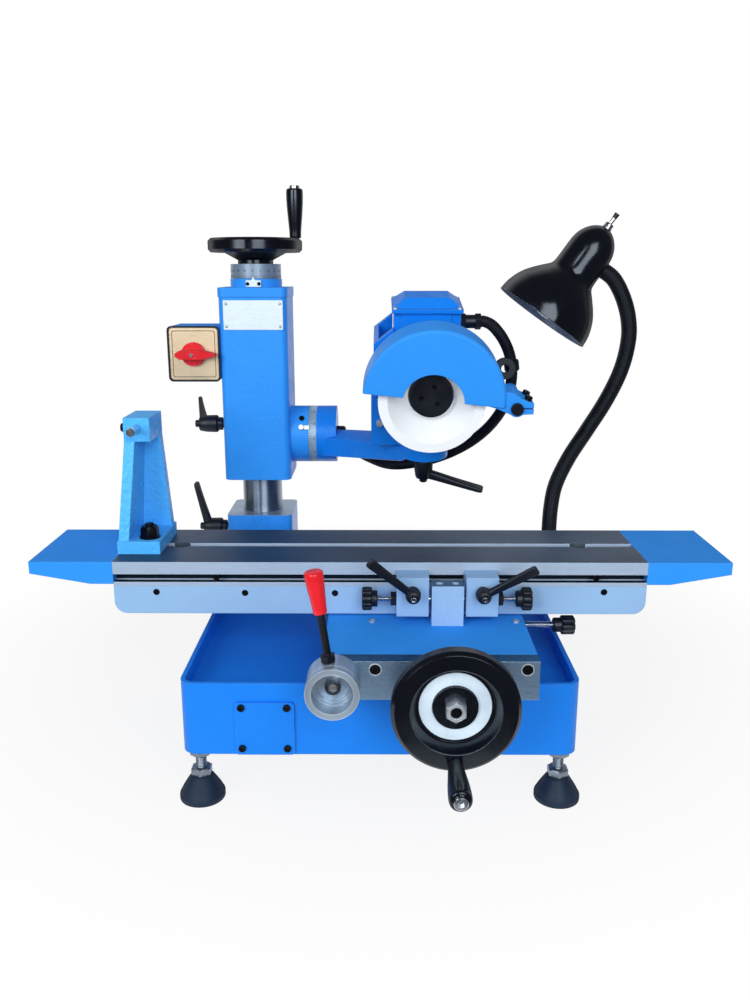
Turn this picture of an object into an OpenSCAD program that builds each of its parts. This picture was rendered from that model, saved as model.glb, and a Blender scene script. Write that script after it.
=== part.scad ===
// Bench tool and cutter grinder: base with chip tray, cross slide, table, column with a lifting head,
// tilting motor arm with a cup wheel, and a gooseneck lamp. Millimetres. The origin lies on the bench
// under the middle of the base, +X to the right, +Y to the back, +Z up.

/* [Base] */
// Width of the base across its front
base_w = 428; // [415:1:445]
// Depth of the base from front to back
base_d = 440; // [432:1:470]
// Height of the base from its underside to the rim of the tray
base_h = 83; // [76:1:95]
// Depth of the chip tray below its rim
tray_depth = 20; // [14:1:24]
// Thickness of the tray's wall
tray_wall = 5; // [4:0.5:8]
// Radius of the base's upright edges
base_edge_r = 16; // [8:1:20]

/* [Feet] */
// Height of the base's underside above the bench
foot_h = 61; // [58:1:72]
// Diameter of a foot pad
pad_d = 50; // [44:1:56]
// Height of a foot pad
pad_h = 28; // [22:1:30]
// Diameter of a levelling stud
stud_d = 12; // [10:1:14]
// Distance of a foot's axis inside the base's sides
foot_inset = 17; // [15:1:30]

/* [Saddle] */
// Width of the saddle along the table
saddle_w = 219; // [214:1:240]
// Depth of the saddle behind its front block
saddle_d = 232; // [225:1:238]
// Height of the saddle
saddle_h = 42; // [40:1:50]
// Thickness of the steel block on the saddle's front
block_t = 17; // [12:1:22]
// Pitch diameter of the pinion that drives the table
pinion_d = 60; // [57:3:63]
// Diameter of the cross screw
cross_screw_d = 16; // [12:1:18]
// Diameter of the traverse shaft
traverse_shaft_d = 14; // [10:1:16]

/* [Table] */
// Length of the table without its end covers
table_l = 600; // [560:1:660]
// Depth of the table from front to back
table_d = 130; // [125:1:140]
// Thickness of the ground table plate
plate_t = 28; // [26:1:34]
// Height of the painted apron under the plate
apron_h = 33; // [30:1:40]
// Length of an end cover
cover_l = 94; // [60:1:120]
// Width of the T-slot in the table's top
slot_w = 12; // [10:1:14]

/* [Column and head] */
// Diameter of the column
post_d = 55; // [48:1:60]
// Height of the column socket above the tray
socket_h = 116; // [100:1:125]
// Width of the socket and of the head casting
head_w = 90; // [84:1:100]
// Depth of the head casting
head_d = 98; // [90:1:104]
// Height of the head casting
head_h = 244; // [236:1:260]
// Gap between the socket and the head at rest
head_rest = 51; // [46:1:60]
// Diameter of the lift screw
lift_screw_d = 20; // [16:1:24]
// Diameter of the two handwheels
wheel_d = 125; // [118:1:140]
// Height of a handwheel along its axis
wheel_h = 33; // [30:1:38]
// Length of a handwheel's grip
grip_l = 67; // [55:1:80]

/* [Wheelhead] */
// Height of the arm's axis above the head's underside
arm_rise = 56; // [52:1:66]
// Diameter of the arm's round end
arm_d = 78; // [70:1:84]
// Height of the spindle above the arm's axis
spindle_rise = 110; // [106:1:116]
// Width of the motor across its flats
motor_w = 112; // [106:1:116]
// Length of the motor's finned housing
motor_l = 112; // [100:1:120]
// Diameter of the cup wheel
cup_d = 125; // [116:1:128]
// Height of the cup wheel along its axis
cup_h = 35; // [31:1:35]
// Diameter of the spindle
spindle_d = 17; // [14:1:20]
// Outer diameter of the wheel guard
guard_d = 165; // [160:1:170]

/* [Lamp] */
// Diameter of the lamp shade's rim
shade_d = 134; // [110:1:150]
// Length of the bell of the shade
bell_l = 66; // [50:1:80]
// Length of the shade's neck with its round end
neck_l = 72; // [60:1:90]
// Diameter of the shade's neck
neck_d = 49; // [42:1:56]
// Diameter of the gooseneck over its ribs
hose_d = 21; // [16:1:24]

/* [Tailstock] */
// Height of the tailstock above the table
tail_h = 154; // [140:1:170]
// Diameter of the tailstock's centre pin
pin_d = 10; // [8:1:12]
// Length of the centre pin that stands out
pin_out = 25; // [15:1:30]

/* [Hidden] */
$fn = 48;
// Radial clearance of a running fit
fit = 0.05;
// Gap between faces that slide or turn past each other
slip = 0.3;
// How far a cut runs past the face it opens
over = 1;

// Heights of the main datums
rim_z = foot_h + base_h;
tray_z = rim_z - tray_depth;
saddle_lift = 3;
saddle_z = rim_z + saddle_lift;
saddle_top = saddle_z + saddle_h;
apron_gap = 2;
apron_z = saddle_top + apron_gap;
plate_z = apron_z + apron_h;
table_z = plate_z + plate_t;
socket_top = tray_z + socket_h;
head_z = socket_top + head_rest;
head_top = head_z + head_h;
arm_z = head_z + arm_rise;
spindle_z = arm_z + spindle_rise;

// Places in plan
base_front = -base_d / 2;
table_set = 82;
table_front = base_front + table_set;
table_back = table_front + table_d;
saddle_reach = 107;
saddle_front = table_front - saddle_reach;
saddle_back = saddle_front + saddle_d;
block_front = saddle_front - block_t;
saddle_x = 51.5;
saddle_left = saddle_x - saddle_w / 2;
saddle_right = saddle_x + saddle_w / 2;
column_x = -167;
column_y = 150;
head_left = column_x - head_w / 2;
head_right = column_x + head_w / 2;
head_front = column_y - head_d / 2;
spindle_x = 60;

// Base
cover_w = 64;
cover_h = 61;
cover_t = 3;
cover_x = -123;
cover_gap = 1;
cover_edge_r = 4;

// Feet
pad_rim_h = 6;
pad_top_d = 26;
PAD_SHARES = [[0.96, 0.42], [0.85, 0.66], [0.7, 0.85]];
pad_seat = 12;
nut_d = 21;
nut_h = 9;
stud_grip = 16;
foot_x = base_w / 2 - foot_inset;
foot_y = base_d / 2 - foot_inset;

// Cross slide
bed_left = -15;
bed_right = 140;
bed_margin = 26;
bed_back = 60;
dove_left = -2;
dove_foot_w = 32;
dove_flare = 6;
dove_h = 14;
cross_x = 73;
cross_rise = 14;
cross_z = saddle_z + cross_rise;
nut_y = -120;
nut_len = 24;
nut_w = 26;
nut_head = 14;
screw_tail = 12;
collar_d = 30;
wheel_nut_d = 19;
wheel_nut_h = 8;
wheel_standoff = 23;
cross_wheel_y = block_front - wheel_standoff;

// Handwheels
wheel_bore_d = 14;
hub_d = 47;
hub_h = 5;
web_d = 84;
rim_h = 18;
rim_round = 3.5;
dish_d = 88;
dish_floor_d = 76;
dish_floor = 18;
boss_d = 44;
boss_h = 4;
grip_r = 54;
grip_foot_d = 16;
grip_top_d = 22;
grip_round = 3;
grip_belly_share = 0.7;
grip_pin_d = 8;
grip_end = 5;

// Traverse
traverse_x = -46;
traverse_rise = 23;
traverse_z = saddle_z + traverse_rise;
gear_m = 1.5;
pinion_teeth = round(pinion_d / gear_m);
tooth_tip_share = 0.16;
tooth_root_share = 0.3;
addendum_share = 0.85;
dedendum_share = 1.25;
addendum = addendum_share * gear_m;
dedendum = dedendum_share * gear_m;
pinion_w = 12;
pinion_set = 91;
rack_w = 14;
rack_l = 150;
rack_x = -26;
pinion_y = table_front + pinion_set;
pinion_gap = 1.2;
shaft_tail = 12;
cup_hub_d = 54;
cup_hub_l = 36;
cup_bore_d = 41;
cup_floor = 12;
cup_seat_d = 34;
cup_seat = 4;
hub_screw_d = 16;
hub_screw_h = 8;
lever_lean = -8.3;
lever_l = 123;
lever_rod_d = 9;
lever_nut_d = 17;
lever_nut_h = 8;
lever_root = 18;
lever_grip_from = 79;
lever_grip_foot_d = 15;
lever_grip_top_d = 22;
lever_grip_belly_share = 0.75;
rack_pitch_z = traverse_z + pinion_teeth * gear_m / 2;

// Saddle
way_foot_w = 44;
way_flare = 5.5;
way_set = 30;
way_rise = 21;
channel_w = 34;
channel_h = 33;
channel_from = 40;
rack_room = 4;
stop_x = 74.5;
stop_w = 35;
stop_d = 19;
stop_h = 46;
stop_set = 12.5;
stop_hole_d = 8;
stop_hole_depth = 12;
lock_set = 10;
lock_rise = 27;
lock_rod_d = 8;
lock_rod_l = 38;
lock_grip = 24;
lock_knob_d = 22;
lock_knob_l = 24;
lobe_count = 8;
lobe_share = 0.16;

// Table
front_lip = 14.5;
front_slot = 9;
front_slot_depth = 7;
front_t_head = 14;
front_t_depth = 6;
slot_depth = 9;
slot_head_w = 20;
slot_head_h = 8;
slot_set = 66;
entry_d = 22;
entry_x = 236;
apron_round = 14;
cover_foot_l = 26;
cover_foot_h = 26;
cover_tip_h = 14;

// Dogs
dog_w = 35.5;
dog_d = 26;
dog_h = 45;
dog_drop = 9;
dog_gap = 3;
dog_lever_drop = 25;
dog_screw_drop = 37.5;
dog_screw_d = 6;
dog_screw_out = 38;
dog_knob_d = 26;
dog_knob_l = 17;
dog_nut_d = 14;
dog_nut_l = 6;
dog_screw_set = 14;

// Clamp levers: hub, arm and stud of the small and the large one
small_hub_d = 17;
small_hub_h = 14;
small_arm_l = 66;
large_hub_d = 24;
large_hub_h = 26;
large_arm_l = 66;
lever_collar_h = 6;
lever_collar_share = 0.75;
lever_button_h = 6;
lever_button_share = 0.42;
lever_root_share = 0.24;
lever_tip_share = 0.33;
lever_thick_share = 0.42;
left_lever_turn = 138;
right_lever_turn = 33;
lever_lift = 14;
lever_stud_l = 12;
lever_arm_share = 0.5;
lock_arm_share = 0.8;
lock_neck = 8;
motor_arm_l = 79;
motor_lever_turn = -10;
lever_stud_d = 10;

// Column and head
socket_edge_r = 8;
socket_floor = 24;
slit_w = 4;
slit_h = 50;
post_bore_d = 34;
post_floor = 40;
lift_nut_d = 42;
lift_nut_h = 30;
post_drop = 65;
head_edge_r = 10;
boss_l = 24;
spigot_d = 28;
spigot_l = 36;
cap_h = 12;
cap_over = 1;
ring_d = 69;
ring_h = 11;
dial_d = 67;
dial_h = 19;
lift_collar_d = 32;
lift_collar_h = 6;
lift_screw_rise = 9;
box_w = 69;
box_h = 73;
box_d = 60;
box_rise = 134;
box_set = 4;
box_edge_r = 7;
knob_shaft_d = 8;
knob_disc_d = 31;
knob_disc_h = 8;
knob_bar_l = 54;
knob_bar_w = 12;
knob_bar_h = 12;
KNOB_BAR_SHARES = [[-0.8, -0.4], [-0.55, -1], [0.5, -1], [1.15, -0.25], [1.15, 0.25], [0.5, 1],
  [-0.55, 1], [-0.8, 0.4]];
head_lock_rise = 70;
column_lock_drop = 28;
head_lock_swing = 68;

// Arm
ring_l = 11;
ring_neck_d = 40;
arm_end_l = 27;
pad_x = 56;
pad_y = 34;
pad_r = 30;
pad_t = 17;
pad_rise = 32;
arm_lean = 10;
web_share = 0.36;
web_back_share = 0.1;
web_low_share = 0.28;
web_high_share = 0.05;
web_in = 4;
cable_seat_share = 0.28;
pivot_d = 20;
pivot_l = 26;

// Motor
bell_d = 104;
bell_h = 14;
motor_front = 2;
motor_cut_share = 0.41;
side_w = 68;
side_low = 52;
side_high = 47;
side_crest = 66;
side_in = 44;
side_wall = 6;
side_from = 34;
side_web = 9;
foot_left = 71;
foot_right = 20;
foot_front = 19;
foot_back = 79;
foot_top = 60;
fin_count = 5;
fin_t = 3;
fin_pitch = 9;
fin_out = 2;
fan_d = 112;
fan_l = 40;
fan_wall = 3;
vent_count = 12;
vent_w = 5;
vent_in_share = 0.35;
vent_out_share = 0.82;
nose_d = 52;
bearing_d = 40;
bearing_w = 12;
shaft_clear = 1.2;
box_top_w = 86;
tbox_dx = -3;
tbox_d = 74;
tbox_panel_w = 57;
tbox_panel_t = 1.5;
tbox_h = 28;
lid_h = 16;
lid_flange = 5;
lid_slope = 16;
lid_cut_share = 0.27;
gland_rise = 13;
gland_set = 72;
gland_in = 12;
gland_nut_d = 20;
gland_nut_l = 7;
gland_d = 16.5;
gland_l = 12;
cable_d = 14;
cable_lead = 14;
gland_lead = 5;

// Wheel, flange and guard
cup_front = -46;
cup_wall = 11;
cup_draft = 3;
cup_base = 9;
cup_bore = 30;
flange_d = 54;
flange_h = 8;
flange_dish = 2;
flange_cap = 3;
guard_front = -56;
guard_back = -6;
guard_wall = 4;
guard_round = 2.5;
guard_dx = 2;
guard_dz = 3;
guard_turn = 6;
guard_edge = 4.5;
guard_arch_d = 72;
arch_dx = 1;
arch_dz = -1;
guard_back_d = 70;
rod_dx = 97.5;
rod_drop = 6;
rod_d = 14;
rod_out = 4;
lug_d = 20;
lug_set = 3;
lug_l = 36;
ear_l = 19;
ear_slit = 2;
lug_heel_share = 0.78;
LUG_SHARES = [[-0.7, 1], [-0.2, 0.9], [0.3, 0.56], [0.96, 0.28], [0.96, -0.32], [0.3, -0.36], [0, -0.45],
  [-0.34, -0.36], [-1.15, 0]];
rod_arm_h = 16;

// Lamp
lamp_y = 122;
hose_out = 24;
lamp_plate_t = 5;
lamp_plate_w = 46;
lamp_plate_h = 60;
lamp_shelf_t = 8;
lamp_socket_d = 27;
lamp_socket_h = 24;
lamp_shelf_drop = 12;
hose_lift = 1;
lamp_lean = 35;
shade_in = 24;
shade_z = 508;
shade_wall = 2;
hose_entry = 94;
hose_bore_d = 11;
rib_count = 68;
rib_groove = 1;
bulb_d = 56;
bulb_cap_d = 27;
bulb_drop = 30;
bulb_cap_l = 76;
bulb_stem_d = 10;
bell_swell_share = 0.8;
bell_steps = 9;
toggle_base_d = 13;
toggle_base_h = 8;
toggle_bore_d = 9;
toggle_foot_d = 4;
toggle_tip = 0.7;
toggle_d = 7;
toggle_l = 22;

// Tailstock
tail_in = 23.5;
tail_x = tail_in - table_l / 2;
tail_foot_w = 49;
tail_foot_d = 87;
tail_foot_h = 15;
tail_set = 27;
tail_block_w = 30;
tail_block_d = 58;
tail_block_h = 27;
tail_block_set = 23;
tail_wall = 12;
tail_pin_drop = 12;
pin_relief = 1;
pin_shank_share = 0.9;
tail_key_l = 40;
tail_key_h = 7;

// Route of the gooseneck's centre line in the lamp's plane, in pairs of X from its foot and Z
HOSE_ROUTE = [[0, 190], [0, 215], [1, 247], [6, 280], [22, 318], [45, 357], [67, 395], [84, 433],
  [92, 466], [93, 496], [85, 528], [69, 557]];
// Route of the motor's cable from its gland to the arm
CABLE_ROUTE = [[139, 32, 502], [151, 34, 488], [160, 37, 471], [165, 41, 453], [166, 45, 434],
  [163, 51, 412], [153, 58, 388], [137, 66, 366], [114, 75, 346], [84, 85, 329], [49, 96, 317],
  [14, 112, 311], [-16, 142, 315]];

// Colours
BLUE = [0.10, 0.45, 0.85];
GREY = [0.66, 0.70, 0.74];
STEEL = [0.62, 0.64, 0.66];
BLACK = [0.06, 0.06, 0.07];
RED = [0.85, 0.10, 0.10];
WHITE = [0.93, 0.94, 0.95];
BRONZE = [0.66, 0.48, 0.25];

// Turning a shape from +Z to another direction
module to_back() { rotate([-90, 0, 0]) children(); }
module to_front() { rotate([90, 0, 0]) children(); }
module to_right() { rotate([0, 90, 0]) children(); }
module to_left() { rotate([0, -90, 0]) children(); }

// Block from corner to corner
module block(low, high) { translate(low) cube(high - low); }

// Block centred on the Z axis with round upright edges
module round_block(w, d, h, r) {
  block([-w / 2 + r, -d / 2, 0], [w / 2 - r, d / 2, h]);
  block([-w / 2, -d / 2 + r, 0], [w / 2, d / 2 - r, h]);
  for (sx = [-1, 1], sy = [-1, 1])
    translate([sx * (w / 2 - r), sy * (d / 2 - r), 0]) cylinder(h = h, r = r);
}

// Hexagon nut standing on Z = 0
module hex_nut(d, h) { cylinder(h = h, d = d, $fn = 6); }

// Knob with hollows cut round its edge
module lobed_knob(d, h) {
  difference() {
    cylinder(h = h, d = d);
    for (i = [0 : lobe_count - 1])
      rotate([0, 0, i * 360 / lobe_count])
        translate([d * (1 + lobe_share) / 2, 0, -over])
          cylinder(h = h + 2 * over, d = 2 * lobe_share * d, $fn = 24);
  }
}

// Clamp lever on the Z axis, its hub standing on Z = 0 and its arm towards +X
module clamp_lever(d, h, arm, neck = 0, share = lever_arm_share) {
  foot = neck + lever_collar_h;
  arm_z0 = foot + h * share;
  translate([0, 0, -lever_stud_l]) cylinder(h = lever_stud_l + neck, d = lever_stud_d - 2 * fit);
  translate([0, 0, neck]) cylinder(h = lever_collar_h, d = d * lever_collar_share);
  translate([0, 0, foot]) cylinder(h = h, d = d);
  translate([0, 0, foot + h]) cylinder(h = lever_button_h, d = d * lever_button_share);
  root = d * lever_root_share;
  tip = d * lever_tip_share;
  translate([0, 0, arm_z0]) rotate([0, -lever_lift, 0]) translate([0, 0, -d * lever_thick_share / 2])
    linear_extrude(d * lever_thick_share)
      polygon([[0, -root], [arm - tip / 2, -tip], [arm, -tip / 2], [arm, tip / 2], [arm - tip / 2, tip],
        [0, root]]);
}

// Dished handwheel on the Z axis with its grip's pin at grip_r on +X
module handwheel() {
  bore = wheel_bore_d / 2 + fit;
  r = wheel_d / 2;
  rotate_extrude()
    polygon([[bore, 0], [hub_d / 2, 0], [hub_d / 2, hub_h], [web_d / 2, wheel_h - rim_h],
      [r - rim_round, wheel_h - rim_h], [r, wheel_h - rim_h + rim_round], [r, wheel_h - rim_round],
      [r - rim_round, wheel_h], [dish_d / 2, wheel_h], [dish_floor_d / 2, dish_floor],
      [boss_d / 2, dish_floor], [boss_d / 2, dish_floor + boss_h], [bore, dish_floor + boss_h]]);
  translate([grip_r, 0, wheel_h - rim_round])
    cylinder(h = rim_round + grip_l - grip_end, d = grip_pin_d);
}

// Grip turned on the Z axis with a blind bore for its pin
module handle_grip() {
  translate([grip_r, 0, wheel_h + slip])
    rotate_extrude()
      polygon([[grip_pin_d / 2 + fit, 0], [grip_foot_d / 2, 0], [grip_top_d / 2, grip_l * grip_belly_share],
        [grip_top_d / 2, grip_l - slip - grip_round], [grip_top_d / 2 - grip_round, grip_l - slip],
        [0, grip_l - slip], [0, grip_l - grip_end], [grip_pin_d / 2 + fit, grip_l - grip_end]]);
}

// Outline of a spur gear with straight flanks, a tooth on +Y
function gear_points(teeth) = let(r = teeth * gear_m / 2, step = 360 / teeth)
  [for (i = [0 : teeth - 1], k = [[-tooth_root_share, -dedendum], [-tooth_tip_share, addendum],
    [tooth_tip_share, addendum], [tooth_root_share, -dedendum]])
    let(a = 90 - (i + k[0]) * step) [(r + k[1]) * cos(a), (r + k[1]) * sin(a)]];

// A point and a heading on the smooth curve through a list of points
function curve_point(p, t) = let(n = len(p) - 1, i = min(floor(t), n - 1), u = t - i,
  a = p[max(i - 1, 0)], b = p[i], c = p[i + 1], d = p[min(i + 2, n)])
  (2 * b + (c - a) * u + (2 * a - 5 * b + 4 * c - d) * u * u + (3 * b - 3 * c + d - a) * u * u * u) / 2;
function unit(v) = v / norm(v);
function heading(p, t) = let(n = len(p) - 1, s = 0.02)
  t <= s ? unit(p[1] - p[0]) : t >= n - s ? unit(p[n] - p[n - 1]) :
  unit(curve_point(p, t + s) - curve_point(p, t - s));

// A ring of points round the curve, level with the depth axis
function ring_points(p, t, r, sides) = let(z = heading(p, t), x = unit(cross(z, [0, 1, 0])),
  y = cross(z, x))
  [for (k = [0 : sides - 1]) curve_point(p, t) + r * (cos(k * 360 / sides) * x + sin(k * 360 / sides) * y)];

// Triangles that join neighbouring rings of a tube, and those that close a round end
function tube_faces(rings, sides) = [for (i = [0 : rings - 2], k = [0 : sides - 1])
  let(a = i * sides + k, b = i * sides + (k + 1) % sides)
    each [[a, a + sides, b], [b, a + sides, b + sides]]];
function end_faces(first, sides, flip) = [for (k = [1 : sides - 2])
  flip ? [first, first + k + 1, first + k] : [first, first + k, first + k + 1]];

// Base and feet
module base_pan() {
  color(BLUE) difference() {
    translate([0, 0, foot_h]) round_block(base_w, base_d, base_h, base_edge_r);
    translate([0, 0, tray_z])
      round_block(base_w - 2 * tray_wall, base_d - 2 * tray_wall, tray_depth + over,
        base_edge_r - tray_wall);
    for (sx = [-1, 1], sy = [-1, 1])
      translate([sx * foot_x, sy * foot_y, foot_h - over])
        cylinder(h = stud_grip + 2 * over, d = stud_d + 2 * fit);
    translate([column_x, column_y, tray_z]) round_block(head_w, head_w, socket_h, socket_edge_r);
  }
}

module base_cover() {
  color(BLUE) translate([cover_x, base_front, foot_h + cover_gap + cover_h / 2]) to_front()
    round_block(cover_w, cover_h, cover_t, cover_edge_r);
}

module foot_pads() {
  color(BLACK) for (sx = [-1, 1], sy = [-1, 1])
    translate([sx * foot_x, sy * foot_y, 0]) difference() {
      rotate_extrude()
        polygon([[0, 0], [pad_d / 2, 0], [pad_d / 2, pad_rim_h],
          each [for (q = PAD_SHARES) [q[0] * pad_d / 2, q[1] * pad_h]], [pad_top_d / 2, pad_h], [0, pad_h]]);
      translate([0, 0, pad_h - pad_seat]) cylinder(h = pad_seat + over, d = stud_d + 2 * fit);
    }
}

module foot_studs() {
  color(STEEL) for (sx = [-1, 1], sy = [-1, 1])
    translate([sx * foot_x, sy * foot_y, 0]) {
      translate([0, 0, pad_h - pad_seat]) cylinder(h = foot_h + stud_grip - pad_h + pad_seat, d = stud_d);
      translate([0, 0, pad_h]) hex_nut(nut_d, nut_h);
      translate([0, 0, foot_h - nut_h]) hex_nut(nut_d, nut_h);
    }
}

// Dovetail profile, its foot at the origin and its flare upwards
module dovetail(foot_w, flare, h, gap) {
  polygon([[-gap, 0], [-gap - flare, h + gap], [foot_w + flare + gap, h + gap], [foot_w + gap, 0]]);
}

module cross_bed() {
  y0 = base_front + tray_wall + bed_margin;
  bed_top = saddle_z - slip;
  color(STEEL) {
    block([bed_left, y0, tray_z], [bed_right, bed_back, bed_top]);
    translate([dove_left, bed_back, bed_top]) to_front() linear_extrude(bed_back - y0)
      dovetail(dove_foot_w, dove_flare, dove_h, 0);
  }
}

module cross_nut() {
  color(BRONZE) difference() {
    block([cross_x - nut_w / 2, nut_y, saddle_z - slip],
      [cross_x + nut_w / 2, nut_y + nut_len, cross_z + nut_head]);
    translate([cross_x, nut_y - over, cross_z]) to_back()
      cylinder(h = nut_len + 2 * over, d = cross_screw_d + 2 * fit);
  }
}

module column_socket() {
  color(BLUE) difference() {
    translate([column_x, column_y, tray_z]) round_block(head_w, head_w, socket_h, socket_edge_r);
    translate([column_x, column_y, tray_z + socket_floor])
      cylinder(h = socket_h, d = post_d + 2 * fit);
    block([column_x - slit_w / 2, column_y, socket_top - slit_h],
      [column_x + slit_w / 2, column_y + head_w, socket_top + over]);
    translate([head_left - over, column_y, socket_top - column_lock_drop]) to_right()
      cylinder(h = lever_stud_l + 2 * over, d = lever_stud_d + 2 * fit);
  }
}

module column_lock_lever() {
  color(BLACK) translate([head_left - slip, column_y, socket_top - column_lock_drop]) to_left()
    clamp_lever(large_hub_d, large_hub_h, large_arm_l, lock_neck, lock_arm_share);
}

// Lamp
hose_x = base_w / 2 + hose_out;
shade_x = hose_x - shade_in;
lamp_shelf_z = rim_z - lamp_shelf_drop;
hose_start = [hose_x, lamp_y, lamp_shelf_z + lamp_shelf_t + hose_lift];
shade_axis = [sin(lamp_lean), 0, cos(lamp_lean)];
shade_side = [cos(lamp_lean), 0, -sin(lamp_lean)];
hose_end = [shade_x, lamp_y, shade_z] + hose_entry * shade_axis + (neck_d / 2 + slip) * shade_side;
HOSE_PATH = concat([hose_start], [for (p = HOSE_ROUTE) [hose_x + p[0], lamp_y, p[1]]], [hose_end]);

module lamp_bracket() {
  side_x = base_w / 2;
  color(BLACK) difference() {
    union() {
      block([side_x, lamp_y - lamp_plate_w / 2, lamp_shelf_z + lamp_shelf_t - lamp_plate_h],
        [side_x + lamp_plate_t, lamp_y + lamp_plate_w / 2, lamp_shelf_z + lamp_shelf_t]);
      block([side_x, lamp_y - lamp_socket_d / 2, lamp_shelf_z], [hose_x, lamp_y + lamp_socket_d / 2,
        lamp_shelf_z + lamp_shelf_t]);
      translate([hose_x, lamp_y, lamp_shelf_z])
        cylinder(h = lamp_shelf_t + lamp_socket_h, d = lamp_socket_d);
    }
    translate([hose_x, lamp_y, lamp_shelf_z + lamp_shelf_t])
      cylinder(h = lamp_socket_h + over, d = hose_d + 2 * slip);
  }
}

module gooseneck() {
  sides = 8;
  rings = 2 * rib_count + 1;
  span = len(HOSE_PATH) - 1;
  outer = [for (i = [0 : rings - 1])
    each ring_points(HOSE_PATH, i * span / (rings - 1), hose_d / 2 - (i % 2) * rib_groove, sides)];
  inner = [for (i = [0 : rings - 1]) each ring_points(HOSE_PATH, i * span / (rings - 1),
    hose_bore_d / 2, sides)];
  first = rings * sides;
  last = (rings - 1) * sides;
  ends = [for (k = [0 : sides - 1]) let(n = (k + 1) % sides)
    each [[k, n, first + k], [n, first + n, first + k],
      [last + k, first + last + k, last + n], [last + n, first + last + k, first + last + n]]];
  skin = tube_faces(rings, sides);
  lining = [for (f = skin) [first + f[0], first + f[2], first + f[1]]];
  color(BLACK) polyhedron(concat(outer, inner), concat(skin, lining, ends));
}

// Shade profile along its axis, its rim at the origin
module shade_outline(wall) {
  r = shade_d / 2 - wall;
  n = neck_d / 2 - wall;
  bell = [for (k = [0 : bell_steps]) let(u = k / bell_steps)
    [n + (r - n) * pow(cos(90 * u), bell_swell_share), bell_l * u]];
  dome = [for (k = [0 : bell_steps]) let(a = 90 * k / bell_steps)
    [n * cos(a), bell_l + neck_l - neck_d / 2 + n * sin(a)]];
  polygon(concat([[0, wall > 0 ? -over : 0]], wall > 0 ? [[r, -over]] : [], bell, dome));
}

module lamp_place() { translate([shade_x, lamp_y, shade_z]) rotate([0, lamp_lean, 0]) children(); }

module lamp_shade() {
  top = bell_l + neck_l;
  color(BLACK) lamp_place() difference() {
    union() {
      rotate_extrude() shade_outline(0);
      translate([0, 0, top - toggle_base_h / 2]) cylinder(h = 3 * toggle_base_h / 2, d = toggle_base_d);
    }
    rotate_extrude() shade_outline(shade_wall);
    translate([0, 0, top]) cylinder(h = toggle_base_h + over, d = toggle_bore_d);
  }
}

module lamp_bulb() {
  dome_r = neck_d / 2 - shade_wall;
  stem_top = bell_l + neck_l - neck_d / 2 + sqrt(dome_r * dome_r - bulb_stem_d * bulb_stem_d / 4) - slip;
  color(WHITE) lamp_place() {
    translate([0, 0, bulb_drop]) sphere(d = bulb_d);
    translate([0, 0, bulb_drop]) cylinder(h = bulb_cap_l, d = bulb_cap_d);
    translate([0, 0, bulb_drop]) cylinder(h = stem_top - bulb_drop, d = bulb_stem_d);
  }
}

module lamp_switch() {
  color(STEEL) lamp_place() translate([0, 0, bell_l + neck_l + slip])
    rotate_extrude() polygon([[0, 0], [toggle_tip, 0], [toggle_foot_d / 2, toggle_foot_d / 2],
      [toggle_d / 2, toggle_l], [0, toggle_l]]);
}

// Column and head
module column_post() {
  foot = tray_z + socket_floor;
  color(STEEL) translate([column_x, column_y, 0]) difference() {
    translate([0, 0, foot]) cylinder(h = post_top - foot, d = post_d);
    translate([0, 0, foot + post_floor]) cylinder(h = post_top, d = post_bore_d);
    translate([0, 0, post_top - lift_nut_h]) cylinder(h = lift_nut_h + over, d = lift_nut_d + 2 * fit);
  }
}

module lift_nut() {
  color(BRONZE) translate([column_x, column_y, post_top - lift_nut_h]) difference() {
    cylinder(h = lift_nut_h, d = lift_nut_d);
    translate([0, 0, -over]) cylinder(h = lift_nut_h + 2 * over, d = lift_screw_d + 2 * fit);
  }
}

module head_casting() {
  color(BLUE) difference() {
    union() {
      translate([column_x, column_y, head_z]) round_block(head_w, head_d, head_h, head_edge_r);
      translate([head_right - over, column_y, arm_z]) to_right() cylinder(h = boss_l + over, d = arm_d);
    }
    translate([column_x, column_y, head_z - over]) cylinder(h = head_h + 2 * over, d = post_d + 2 * fit);
    translate([head_right + boss_l - spigot_l, column_y, arm_z]) to_right()
      cylinder(h = spigot_l + over, d = spigot_d + 2 * fit);
    translate([head_left - over, column_y, head_z + head_lock_rise]) to_right()
      cylinder(h = lever_stud_l + 2 * over, d = lever_stud_d + 2 * fit);
  }
}

module head_cap() {
  color(BLUE) translate([column_x, column_y, head_top]) difference() {
    union() {
      round_block(head_w + 2 * cap_over, head_d + 2 * cap_over, cap_h, head_edge_r);
      translate([0, 0, cap_h]) cylinder(h = ring_h, d = ring_d);
    }
    translate([0, 0, -over]) cylinder(h = cap_h + ring_h + 2 * over, d = wheel_bore_d + 2 * fit);
  }
}

post_top = head_top - post_drop;
lift_screw_foot = head_z + lift_screw_rise;
box_z = head_z + box_rise;
box_x = head_left - box_w / 2;
box_front = head_front + box_set;
knob_z = box_z + box_h / 2;

module switch_box() {
  color(BLUE) difference() {
    translate([box_x, box_front + box_d, knob_z]) to_front() round_block(box_w, box_h, box_d, box_edge_r);
    translate([box_x, box_front - over, knob_z]) to_back()
      cylinder(h = lever_stud_l + over, d = knob_shaft_d + 2 * fit);
  }
}

module switch_knob() {
  color(RED) translate([box_x, box_front - slip, knob_z]) to_front() {
    translate([0, 0, slip - lever_stud_l]) cylinder(h = lever_stud_l, d = knob_shaft_d);
    cylinder(h = knob_disc_h, d = knob_disc_d);
    translate([0, 0, knob_disc_h]) linear_extrude(knob_bar_h)
      polygon([for (p = KNOB_BAR_SHARES) [p[0] * knob_bar_l / 2, p[1] * knob_bar_w / 2]]);
  }
}

dial_z = head_top + cap_h + ring_h + slip;
lift_wheel_z = dial_z + dial_h - slip;

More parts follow.
